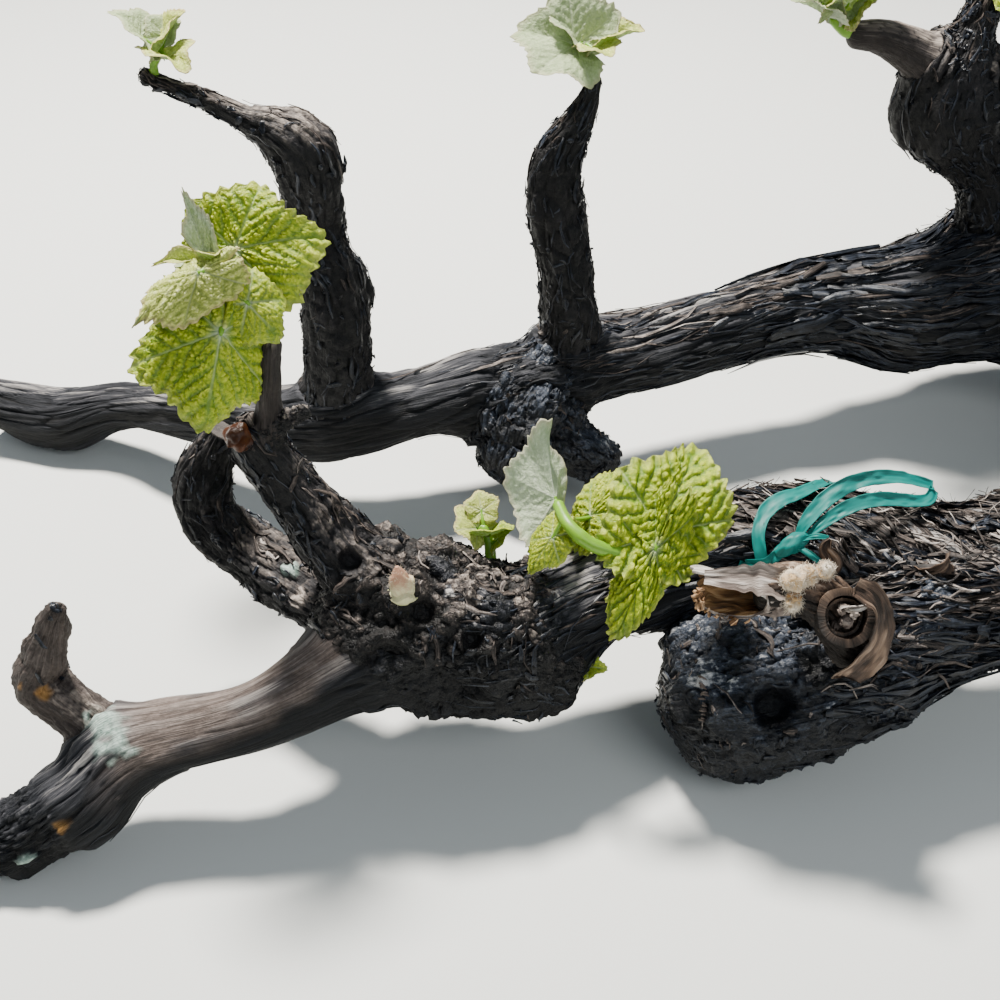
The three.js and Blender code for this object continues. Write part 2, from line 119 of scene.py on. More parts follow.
def cellsInSpace(points, seed):
    # one scattered point in each lattice cell: the distances to the nearest two and the nearest one's
    # value
    low = np.floor(points)
    nearest = np.full(points.shape[:-1], 9.0)
    second = nearest.copy()
    value = np.zeros(nearest.shape)
    for corner in np.ndindex(3, 3, 3):
        cell = low + corner - 1
        spot = np.stack([latticeValue(cell, seed + k) for k in range(3)], -1)
        distance = np.linalg.norm(points - cell - spot, axis=-1)
        closer = distance < nearest
        second = np.where(closer, nearest, np.minimum(second, distance))
        value = np.where(closer, latticeValue(cell, seed + 3), value)
        nearest = np.where(closer, distance, nearest)
    return nearest, second, value


# Meshes


def gridFaces(rows, cols, wrap=True, flip=False):
    # quads between neighbouring rows and columns; with wrap the last column meets the first
    i = np.arange(rows - 1)[:, None]
    j = np.arange(cols if wrap else cols - 1)[None, :]
    k = (j + 1) % cols
    around = [i * cols + j, i * cols + k, (i + 1) * cols + k, (i + 1) * cols + j]
    quads = np.stack(around, -1).reshape(-1, 4)
    return quads[:, ::-1] if flip else quads


def gridCorners(rows, cols, wrap=True, flip=False):
    # the same quads' places on a flat map that runs from 0 to 1 both ways, with no jump at the seam
    across = cols if wrap else cols - 1
    i = np.arange(rows - 1)[:, None]
    j = np.arange(across)[None, :]
    low, high = i / (rows - 1) + 0 * j, (i + 1) / (rows - 1) + 0 * j
    left, right = j / across + 0 * i, (j + 1) / across + 0 * i
    corners = np.stack([left, low, right, low, right, high, left, high], -1).reshape(-1, 4, 2)
    return corners[:, ::-1] if flip else corners


def gridNormals(points):
    # the cross product of the steps around and along, on a grid that wraps round its columns
    along = np.gradient(points, axis=0)
    around = np.roll(points, -1, 1) - np.roll(points, 1, 1)
    return unit(np.cross(around, along))


pieces = []


def addPiece(name, points, faces, materials, node, slot, corners=None, pick=None, sharp=None, **values):
    # points are drawn millimetres; faces, corners and pick are lists with one array for each size of face
    mesh = bpy.data.meshes.new(name)
    places = ((points.reshape(-1, 3) + toOrigin) * metre).astype(np.float32)
    mesh.vertices.add(len(places))
    mesh.vertices.foreach_set("co", places.ravel())
    loops = np.concatenate([f.ravel() for f in faces]).astype(np.int32)
    sizes = np.concatenate([np.full(len(f), f.shape[1]) for f in faces])
    mesh.loops.add(len(loops))
    mesh.loops.foreach_set("vertex_index", loops)
    mesh.polygons.add(len(sizes))
    mesh.polygons.foreach_set("loop_start", np.concatenate([[0], np.cumsum(sizes)[:-1]]).astype(np.int32))
    mesh.update(calc_edges=True)
    mesh.shade_smooth()
    if sharp is not None:
        mesh.set_sharp_from_angle(angle=math.radians(sharp))
    for material in materials:
        mesh.materials.append(material)
    if pick is not None:
        mesh.polygons.foreach_set("material_index", np.concatenate(pick).astype(np.int32))
    if corners is not None:
        layer = mesh.uv_layers.new(name="flatMap")
        mapped = np.concatenate([c.reshape(-1, 2) for c in corners])
        layer.data.foreach_set("uv", mapped.ravel().astype(np.float32))
    for key, array in values.items():
        flat = array.reshape(len(places), -1).astype(np.float32)
        kind, field = ("FLOAT_VECTOR", "vector") if flat.shape[1] == 3 else ("FLOAT", "value")
        mesh.attributes.new(key, kind, "POINT").data.foreach_set(field, flat.ravel())
    piece = bpy.data.objects.new(name, mesh)
    bpy.context.scene.collection.objects.link(piece)
    pieces.append(piece)
    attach(piece, "root")
    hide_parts(node)


# Materials


def treeOf(*values):
    # the node tree that the first socket among the values is in
    return next(value.id_data for value in values if isinstance(value, bpy.types.NodeSocket))


def socket(node, name, value):
    # a link for a socket, or a plain value for anything else
    if isinstance(value, bpy.types.NodeSocket):
        node.id_data.links.new(value, node.inputs[name])
    else:
        node.inputs[name].default_value = value


def addNode(tree, kind, inputs, **settings):
    node = tree.nodes.new(kind)
    for key, value in settings.items():
        setattr(node, key, value)
    for key, value in inputs.items():
        socket(node, key, value)
    return node


def maths(operation, a, b, clamp=False):
    node = addNode(treeOf(a, b), "ShaderNodeMath", {0: a, 1: b}, operation=operation, use_clamp=clamp)
    return node.outputs[0]


def plus(a, b, clamp=False):
    return maths("ADD", a, b, clamp)


def times(a, b):
    return maths("MULTIPLY", a, b)


def spread(value, middle, amount):
    # how far a value is from its middle, times the amount
    return times(maths("SUBTRACT", value, middle), amount)


def ramp(factor, places, colors):
    node = addNode(treeOf(factor), "ShaderNodeValToRGB", {"Fac": factor})
    elements = node.color_ramp.elements
    while len(elements) < len(places):
        elements.new(0.5)
    for element, place, color in zip(elements, places, colors):
        element.position = place
        element.color = (*color, 1)
    return node.outputs[0]


def mixColor(factor, a, b):
    kind = bpy.types.NodeSocket
    first, second = (value if isinstance(value, kind) else (*value, 1) for value in (a, b))
    inputs = {0: factor, 6: first, 7: second}
    return addNode(treeOf(factor, a, b), "ShaderNodeMix", inputs, data_type="RGBA").outputs[2]


def noise(place, scale, detail, rough=0.5, push=0.0):
    inputs = {"Vector": place, "Scale": scale, "Detail": detail, "Roughness": rough, "Distortion": push}
    return addNode(treeOf(place), "ShaderNodeTexNoise", inputs)


def vectors(operation, a, inputs):
    return addNode(treeOf(a), "ShaderNodeVectorMath", {0: a, **inputs}, operation=operation)


def reading(tree, name, output="Fac"):
    return addNode(tree, "ShaderNodeAttribute", {}, attribute_name=name).outputs[output]


def placeIn(tree):
    return addNode(tree, "ShaderNodeTexCoord", {}).outputs["Object"]


def newMaterial(name, rough=0.5, gloss=0.5):
    material = bpy.data.materials.new(name)
    material.use_nodes = True
    shader = material.node_tree.nodes["Principled BSDF"]
    shader.inputs["Roughness"].default_value = rough
    shader.inputs["Specular IOR Level"].default_value = gloss
    return material, material.node_tree, shader


def addBump(shader, height, strength, distance):
    inputs = {"Strength": strength, "Distance": distance, "Height": height}
    socket(shader, "Normal", addNode(treeOf(height), "ShaderNodeBump", inputs).outputs[0])


def letThrough(shader, color, share):
    # a share of the light goes through the thin sheet
    tree = shader.id_data
    through = addNode(tree, "ShaderNodeBsdfTranslucent", {"Color": color})
    mixed = addNode(tree, "ShaderNodeMixShader", {0: share, 1: shader.outputs[0], 2: through.outputs[0]})
    socket(tree.nodes["Material Output"], "Surface", mixed.outputs[0])


def newGroup(name, output, **sizes):
    group = bpy.data.node_groups.new(name, "ShaderNodeTree")
    group.interface.new_socket("Place", in_out="INPUT", socket_type="NodeSocketVector")
    for key, value in sizes.items():
        size = group.interface.new_socket(key, in_out="INPUT", socket_type="NodeSocketFloat")
        size.default_value = value
    group.interface.new_socket(output, in_out="OUTPUT", socket_type="NodeSocketFloat")
    return group, group.nodes.new("NodeGroupInput").outputs, group.nodes.new("NodeGroupOutput")


def pattern(group, place, **sizes):
    # the value of a shared pattern at a place
    inputs = {"Place": place, **sizes}
    return addNode(treeOf(place), "ShaderNodeGroup", inputs, node_tree=group).outputs[0]


def makeFibres():
    # Noise drawn out along x: the place is scaled down along the grain before it is looked up.
    group, given, out = newGroup("fibres", "Fibre", Width=900.0, Stretch=0.06)
    size = addNode(group, "ShaderNodeCombineXYZ", {"X": given["Stretch"], "Y": 1.0, "Z": 1.0})
    place = vectors("MULTIPLY", given["Place"], {1: size.outputs[0]}).outputs[0]
    socket(out, "Fibre", noise(place, given["Width"], 4.0, 0.65, 0.4).outputs["Fac"])
    return group


def makeBlotches():
    # Two sizes of soft noise, one inside the other, for stains and worn places.
    group, given, out = newGroup("blotches", "Blotch", Size=120.0)
    large = noise(given["Place"], given["Size"], 3.0, 0.6).outputs["Fac"]
    fine = noise(given["Place"], times(given["Size"], 7.0), 2.0).outputs["Fac"]
    socket(out, "Blotch", plus(times(large, 0.65), times(fine, 0.35)))
    return group


def makeCrumbs():
    # Small round cells, with a finer set among them, pushed about by noise: crumbling cork.
    group, given, out = newGroup("crumbs", "Crumb", Size=500.0)
    push = vectors("SCALE", noise(given["Place"], given["Size"], 2.0).outputs["Color"], {"Scale": 0.0016})
    place = vectors("ADD", given["Place"], {1: push.outputs[0]}).outputs[0]
    sizes = [{"Vector": place, "Scale": times(given["Size"], scale)} for scale in (1.0, 2.3)]
    coarse, fine = (addNode(group, "ShaderNodeTexVoronoi", size).outputs["Distance"] for size in sizes)
    socket(out, "Crumb", maths("SUBTRACT", 1.0, plus(times(coarse, 0.75), times(fine, 0.45)), clamp=True))
    return group


fibres = makeFibres()
blotches = makeBlotches()
crumbs = makeCrumbs()

tans = [(0.035, 0.026, 0.022), (0.13, 0.096, 0.078), (0.32, 0.25, 0.215)]
mint = [(0.16, 0.24, 0.2), (0.62, 0.74, 0.66)]
rusty = [(0.12, 0.05, 0.012), (0.46, 0.25, 0.07)]
woolWhite = (0.72, 0.78, 0.66)


def barkMaterial(name, colors, gloss=0.3, rough=0.5, crumbSize=520.0):
    # Cracks are painted dark as shade and crests light as painted highlights; upper sides turn grey,
    # partly weathering and partly painted light from above. Fibres run along the limb; where the bark is
    # cork, crumbs take their place.
    material, tree, shader = newMaterial(name, gloss=gloss)
    place, grain = placeIn(tree), reading(tree, "grain", "Vector")
    fibre = pattern(fibres, grain, Width=1500.0, Stretch=0.05)
    broad = pattern(fibres, grain, Width=420.0, Stretch=0.12)
    blotch = pattern(blotches, place, Size=130.0)
    crumb = pattern(crumbs, place, Size=crumbSize)
    fine = plus(fibre, times(reading(tree, "cork"), maths("SUBTRACT", crumb, fibre)))
    # relief paints shade into the cracks and highlights on the crests; the upper-side channel adds
    # painted light
    tone = plus(times(reading(tree, "relief"), 0.42), times(fine, 0.44))
    tone = plus(tone, spread(broad, 0.5, 0.4))
    tone = plus(tone, spread(reading(tree, "weather"), 0.32, 0.42), clamp=True)
    color = ramp(tone, (0.3, 0.5, 0.66, 0.86), colors)
    stain = ramp(plus(times(fibre, 0.6), times(blotch, 0.5)), (0.3, 0.52, 0.72), tans)
    color = mixColor(reading(tree, "smooth"), color, stain)
    color = mixColor(reading(tree, "lichen"), color, mixColor(crumb, *mint))
    color = mixColor(times(reading(tree, "rust"), 0.85), color, mixColor(blotch, *rusty))
    socket(shader, "Base Color", color)
    socket(shader, "Roughness", plus(rough, times(fine, 0.4), clamp=True))
    addBump(shader, plus(fine, times(broad, 0.8)), 0.9, 0.001)
    return material


def shredMaterial(name, colors, rough, gloss=0.25):
    # fine streaks that run along each shred, from painted shade in its gaps to painted light on its
    # fibres
    material, tree, shader = newMaterial(name, rough, gloss)
    streak = pattern(fibres, reading(tree, "grain", "Vector"), Width=2400.0, Stretch=0.05)
    tone = plus(streak, spread(pattern(blotches, placeIn(tree), Size=300.0), 0.5, 0.6))
    socket(shader, "Base Color", ramp(tone, (0.34, 0.48, 0.66), colors))
    addBump(shader, streak, 0.7, 0.0004)
    return material


def softMaterial(name, colors, rough, size, bump, glow=0.0):
    # a plain pair of colours with soft stains between them, and a little light that spreads inside
    material, tree, shader = newMaterial(name, rough)
    shader.inputs["Subsurface Weight"].default_value = glow
    shader.inputs["Subsurface Radius"].default_value = (0.001, 0.002, 0.0005)
    blotch = pattern(blotches, placeIn(tree), Size=size)
    socket(shader, "Base Color", mixColor(blotch, *colors))
    addBump(shader, blotch, *bump)
    return material


def cutMaterial(name, colors):
    # sawn wood: growth rings by the distance from the pith, with cracks and grey weathering
    material, tree, shader = newMaterial(name, 0.85)
    grain = reading(tree, "grain", "Vector")
    flat = vectors("MULTIPLY", grain, {1: (0.0, 1.0, 1.0)}).outputs[0]
    wobble = pattern(blotches, grain, Size=140.0)
    far = times(vectors("LENGTH", flat, {}).outputs["Value"], 3600.0)
    rings = maths("SINE", plus(far, times(wobble, 9.0)), 0.0)
    factor = plus(times(rings, 0.1), wobble, clamp=True)
    socket(shader, "Base Color", ramp(factor, (0.2, 0.75), colors))
    addBump(shader, factor, 0.35, 0.0006)
    return material


def leafMaterial(name, colors, vein, edge, glow, rough):
    # Valleys are painted a deeper green as shade and crests paler as painted highlights, veins paler with
    # wool at the stalk, and the margin turns.
    material, tree, shader = newMaterial(name, gloss=0.4)
    place = placeIn(tree)
    blotch = pattern(blotches, place, Size=200.0)
    pucker = pattern(crumbs, place, Size=1150.0)
    fine = noise(place, 3600.0, 2.0).outputs["Fac"]
    level = plus(times(reading(tree, "relief"), 0.7), spread(blotch, 0.5, 0.9))
    color = ramp(plus(level, spread(pucker, 0.42, 0.6), clamp=True), (0.06, 0.5, 0.95), colors)
    color = mixColor(times(reading(tree, "vein"), 0.8), color, vein)
    color = mixColor(times(maths("POWER", reading(tree, "margin"), 2.5), blotch), color, edge)
    color = mixColor(times(reading(tree, "wool"), 0.8), color, woolWhite)
    socket(shader, "Base Color", color)
    socket(shader, "Roughness", plus(rough, times(fine, 0.3), clamp=True))
    addBump(shader, plus(pucker, times(fine, 0.35)), 0.55, 0.0006)
    letThrough(shader, mixColor(0.5, color, glow), 0.3)
    return material


def budMaterial(name, colors, rough):
    # three colours from the bud's foot to its tip, with a mottled edge between them
    material, tree, shader = newMaterial(name, rough, 0.2)
    blotch = pattern(blotches, placeIn(tree), Size=700.0)
    rise = plus(reading(tree, "rise"), spread(blotch, 0.5, 0.9))
    socket(shader, "Base Color", ramp(rise, (0.15, 0.5, 0.85), colors))
    addBump(shader, blotch, 0.6, 0.0004)
    return material


def tapeMaterial(name, colors, crease, through):
    # thin stretched plastic: soft gloss, stretch lines along it and paler creases
    material, tree, shader = newMaterial(name, 0.5, 0.35)
    lines = pattern(fibres, reading(tree, "grain", "Vector"), Width=900.0, Stretch=0.03)
    color = mixColor(times(reading(tree, "relief"), 0.22), mixColor(lines, *colors), crease)
    socket(shader, "Base Color", color)
    addBump(shader, lines, 0.22, 0.0003)
    letThrough(shader, through, 0.25)
    return material


# each bark's colours, from its cracks to its lit crests: the crack end is partly painted shade, the crest
# end painted highlight (painted glints on the burl), and the blue of the dark barks painted sky
# reflection
barks = {
    "oldBark": [(0.001, 0.0012, 0.0016), (0.007, 0.0082, 0.0115), (0.055, 0.055, 0.062),
        (0.46, 0.43, 0.4)],
    "burlBark": [(0.0006, 0.0008, 0.0013), (0.0035, 0.005, 0.0085), (0.03, 0.04, 0.06), (0.6, 0.6, 0.6)],
    "headBark": [(0.001, 0.0009, 0.0009), (0.009, 0.0073, 0.0066), (0.06, 0.048, 0.042),
        (0.34, 0.285, 0.24)],
    "spurBark": [(0.0018, 0.0017, 0.002), (0.014, 0.0125, 0.0135), (0.1, 0.084, 0.074),
        (0.44, 0.37, 0.31)],
    "caneBark": [(0.01, 0.007, 0.005), (0.05, 0.032, 0.022), (0.14, 0.09, 0.06), (0.42, 0.32, 0.24)],
    "paperInside": [(0.05, 0.024, 0.01), (0.22, 0.115, 0.045), (0.46, 0.28, 0.13), (0.7, 0.54, 0.34)],
    "ringInside": [(0.008, 0.005, 0.003), (0.05, 0.032, 0.023), (0.16, 0.11, 0.08), (0.42, 0.33, 0.26)],
    "palePaper": [(0.13, 0.1, 0.085), (0.3, 0.25, 0.215), (0.5, 0.445, 0.4), (0.78, 0.74, 0.69)],
    "curlBark": [(0.02, 0.012, 0.008), (0.085, 0.053, 0.036), (0.21, 0.14, 0.095), (0.42, 0.32, 0.24)],
}
shiny = {"burlBark": {"gloss": 0.32, "rough": 0.22, "crumbSize": 1000.0}}
barks = {name: barkMaterial(name, colors, **shiny.get(name, {})) for name, colors in barks.items()}
# shred colours from black to silver: the black's blue is painted sky reflection, and the grey and silver
# stand partly for painted light on upper sides
shreds = [
    shredMaterial(
        "shredBlack", [(0.0006, 0.0008, 0.0012), (0.0045, 0.006, 0.0095), (0.034, 0.041, 0.058)],
        0.34, 0.32,
    ),
    shredMaterial(
        "shredBrown", [(0.002, 0.0017, 0.0015), (0.024, 0.019, 0.017), (0.12, 0.094, 0.08)], 0.6,
    ),
    shredMaterial("shredGrey", [(0.006, 0.005, 0.0045), (0.095, 0.078, 0.069), (0.36, 0.31, 0.275)], 0.7),
    shredMaterial("shredSilver", [(0.03, 0.025, 0.022), (0.28, 0.24, 0.215), (0.7, 0.64, 0.58)], 0.7),
]
lipTan = shredMaterial("lipTan", [(0.07, 0.03, 0.012), (0.34, 0.18, 0.08), (0.66, 0.46, 0.28)], 0.6)
sawnWood = cutMaterial("sawnWood", [(0.12, 0.08, 0.05), (0.42, 0.3, 0.18)])
greyCut = cutMaterial("greyCut", [(0.015, 0.013, 0.012), (0.1, 0.085, 0.075)])
# a leaf's sides: greens from valley to crest, painted shade to painted highlight, then veins, margin, the
# light through it and roughness
leafLooks = [
    leafMaterial(
        "leafTop", [(0.13, 0.25, 0.003), (0.49, 0.58, 0.016), (0.86, 0.87, 0.12)],
        (0.66, 0.74, 0.3), (0.6, 0.64, 0.14), (0.55, 0.75, 0.02), 0.22,
    ),
    leafMaterial(
        "leafUnder", [(0.24, 0.33, 0.11), (0.42, 0.5, 0.24), (0.56, 0.62, 0.36)],
        (0.6, 0.64, 0.42), (0.6, 0.5, 0.3), (0.4, 0.6, 0.06), 0.6,
    ),
    leafMaterial(
        "downyLeaf", [(0.32, 0.42, 0.22), (0.54, 0.62, 0.42), (0.8, 0.83, 0.7)],
        (0.82, 0.83, 0.7), (0.6, 0.44, 0.3), (0.5, 0.65, 0.2), 0.7,
    ),
    leafMaterial(
        "youngLeaf", [(0.32, 0.4, 0.05), (0.66, 0.71, 0.17), (0.9, 0.91, 0.5)],
        (0.62, 0.64, 0.34), (0.66, 0.42, 0.3), (0.6, 0.7, 0.06), 0.42,
    ),
]
greenStem = softMaterial(
    "greenStem", [(0.09, 0.24, 0.004), (0.21, 0.4, 0.015)], 0.42, 400.0, (0.25, 0.0004), 0.15
)
budWool = softMaterial("budWool", [(0.42, 0.33, 0.22), (0.84, 0.78, 0.68)], 0.95, 900.0, (0.5, 0.0003))
woolBud = budMaterial("woolBud", [(0.2, 0.12, 0.06), (0.66, 0.56, 0.42), (0.5, 0.34, 0.18)], 0.9)
openBud = budMaterial("openBud", [(0.34, 0.4, 0.12), (0.62, 0.6, 0.36), (0.4, 0.22, 0.14)], 0.65)
tanBud = budMaterial("tanBud", [(0.3, 0.15, 0.05), (0.66, 0.46, 0.24), (0.84, 0.76, 0.62)], 0.9)
glossBud = budMaterial(
    "glossBud", [(0.008, 0.004, 0.003), (0.07, 0.022, 0.007), (0.03, 0.011, 0.005)], 0.28,
)
stretchTape = tapeMaterial(
    "stretchTape", [(0.0, 0.11, 0.098), (0.002, 0.23, 0.2)], (0.01, 0.36, 0.31), (0.01, 0.5, 0.42, 1)
)
print("materials made")


# Parts that are joined into one piece


def closedTube(points, pickFirst=0, pickLast=0, pickBody=0, **values):
    # a grid of rings, closed by a fan at each end
    rows, cols = points.shape[:2]
    j = np.arange(cols)
    k = (j + 1) % cols
    top = (rows - 1) * cols
    first, last = np.full(cols, rows * cols), np.full(cols, rows * cols + 1)
    fanCorners = np.zeros((2 * cols, 3, 2))
    fanCorners[:cols, :, 0] = np.stack([j + 0.5, j + 1, j], -1) / cols
    fanCorners[cols:, :, 0] = np.stack([j + 0.5, j, j + 1], -1) / cols
    fanCorners[cols:, :, 1] = 1
    part = {
        "points": np.vstack([points.reshape(-1, 3), points[0].mean(0), points[-1].mean(0)]),
        "quads": gridFaces(rows, cols),
        "tris": np.vstack([np.stack([first, k, j], -1), np.stack([last, top + j, top + k], -1)]),
        "quadCorners": gridCorners(rows, cols),
        "triCorners": fanCorners,
        "quadPick": np.repeat(np.broadcast_to(pickBody, rows - 1), cols),
        "triPick": np.repeat([pickFirst, pickLast], cols),
    }
    for key, array in values.items():
        flat = array.reshape(rows * cols, -1)
        part[key] = np.concatenate([flat, flat[[0, -1]]])
    return part


def joinParts(name, parts, materials, node, slot, sharp=None):
    # every part's faces are numbered on from the parts before it, and each gets a tile of the flat map
    tiles = math.ceil(math.sqrt(len(parts)))
    starts = np.cumsum([0] + [len(p["points"]) for p in parts[:-1]])
    margin = 0.02  # round each tile
    joined = {key: np.concatenate([p[key] for p in parts]) for key in parts[0]}
    for kind in ("quad", "tri"):
        joined[kind + "s"] = np.concatenate([p[kind + "s"] + start for p, start in zip(parts, starts)])
        joined[kind + "Corners"] = np.concatenate([
            (p[kind + "Corners"] * (1 - 2 * margin) + margin + [i % tiles, i // tiles]) / tiles
            for i, p in enumerate(parts)
        ])
    points = joined.pop("points")
    faces, corners, pick = (
        [joined.pop(kind + part) for kind in ("quad", "tri")] for part in ("s", "Corners", "Pick")
    )
    addPiece(name, points, faces, materials, node, slot, corners, pick, sharp, **joined)


def ringSpokes(along, reference, around):
    # each ring's ways out to its points, square to its way along, with the turn of each point
    across = unit(reference - along * (along @ reference)[:, None])
    other = np.cross(along, across)
    angle = fullTurn * np.arange(around) / around
    first, second = np.cos(angle)[None, :, None], np.sin(angle)[None, :, None]
    return first * across[:, None] + second * other[:, None], angle


def tubePoints(line, around, upright=False):
    # rings square to the line, with the radius as the line's fourth value
    along = unit(np.gradient(line[:, :3], axis=0))
    reference = np.array([0.13, 1, 0.1] if upright else [0.1, 0.13, 1])
    return line[:, None, :3] + line[:, None, 3:4] * ringSpokes(along, reference, around)[0]


def scaled(line, grid, factor):
    # each ring's points moved out from its middle by the factor
    return line[:, None, :3] + (grid - line[:, None, :3]) * factor[..., None]


def farFrom(points, place):
    return np.linalg.norm(points - np.array(place, float), axis=-1)


def vector(values):
    return np.array(values, float)


# Limbs

# step and around give the grid; each kind of relief has its height, and the size of its cells
lookOfArm = dict(
    step=1.5, around=208, lump=1.1, lumpSize=15, furrow=2.1, furrowWidth=6, furrowLength=55, plate=1.3,
    plateWidth=7, plateLength=30, crack=1.2, fibre=0.5, fibreWidth=1.4, fibreLength=16, wart=0.0,
    wartSize=4, cork=0.0, smooth=0.0, blend=9, bark="oldBark",
)
lookOfBackArm = dict(lookOfArm, step=2.2, around=176, pale=0.8)
# on the burl, pale lowers the light from above and even adds it all over, so that its crests carry
# painted glints
lookOfBurl = dict(
    step=0.8, around=264, lump=2.6, lumpSize=9, furrow=1.2, furrowWidth=3.6, furrowLength=6, plate=0.5,
    plateWidth=4, plateLength=9, crack=0.8, fibre=0.9, fibreWidth=2.0, fibreLength=1.3, wart=1.1,
    wartSize=1.7, cork=0.4, smooth=0.0, blend=9, bark="burlBark", pale=0.55, even=0.34,
)
lookOfHead = dict(
    step=0.8, around=240, lump=3.8, lumpSize=8, furrow=1.2, furrowWidth=4, furrowLength=9, plate=0.4,
    plateWidth=6, plateLength=7, crack=0.3, fibre=0.2, fibreWidth=1.3, fibreLength=3, wart=2.7,
    wartSize=4.2, cork=1.0, smooth=0.0, blend=9, bark="headBark",
)
lookOfKeel = dict(lookOfHead, lump=2.2, wart=1.3)
lookOfSpur = dict(
    step=0.85, around=144, lump=1.2, lumpSize=8, furrow=1.7, furrowWidth=3.6, furrowLength=16, plate=0.8,
    plateWidth=4, plateLength=9, crack=0.7, fibre=0.3, fibreWidth=1.1, fibreLength=6, wart=0.6,
    wartSize=2.3, cork=0.45, smooth=0.0, blend=5, bark="spurBark",
)
lookOfBackSpur = dict(lookOfSpur, step=1.0, around=120)
lookOfWornSpur = dict(lookOfSpur, lump=1.8, furrow=0.7, plate=0.5, crack=0.4, smooth=0.28)
lookOfCane = dict(lookOfSpur, furrow=1.2, bark="caneBark")
lookOfTwig = dict(
    lookOfSpur, step=0.6, around=64, lump=0.3, lumpSize=6, furrow=0.35, furrowWidth=2, furrowLength=12,
    plate=0.2, plateWidth=2, plateLength=6, crack=0.2, fibre=0.12, fibreWidth=0.7, fibreLength=8,
    wart=0.0, wartSize=2, cork=0.0, smooth=0.12, blend=3,
)
lookOfPeg = dict(
    lookOfTwig, step=0.4, around=72, lumpSize=4, furrow=0.0, plate=0.0, crack=0.0, fibre=0.1,
    fibreLength=3, wart=1.1, wartSize=1.3, cork=1.0, smooth=0.0,
)


def limbOf(node, look, places, start="hidden", end="dome", **more):
    # each place is the middle of a ring and its radius; its ends are hidden in other wood, domed or cut
    return dict(node=node, look=look, places=places, start=start, end=end, **more)


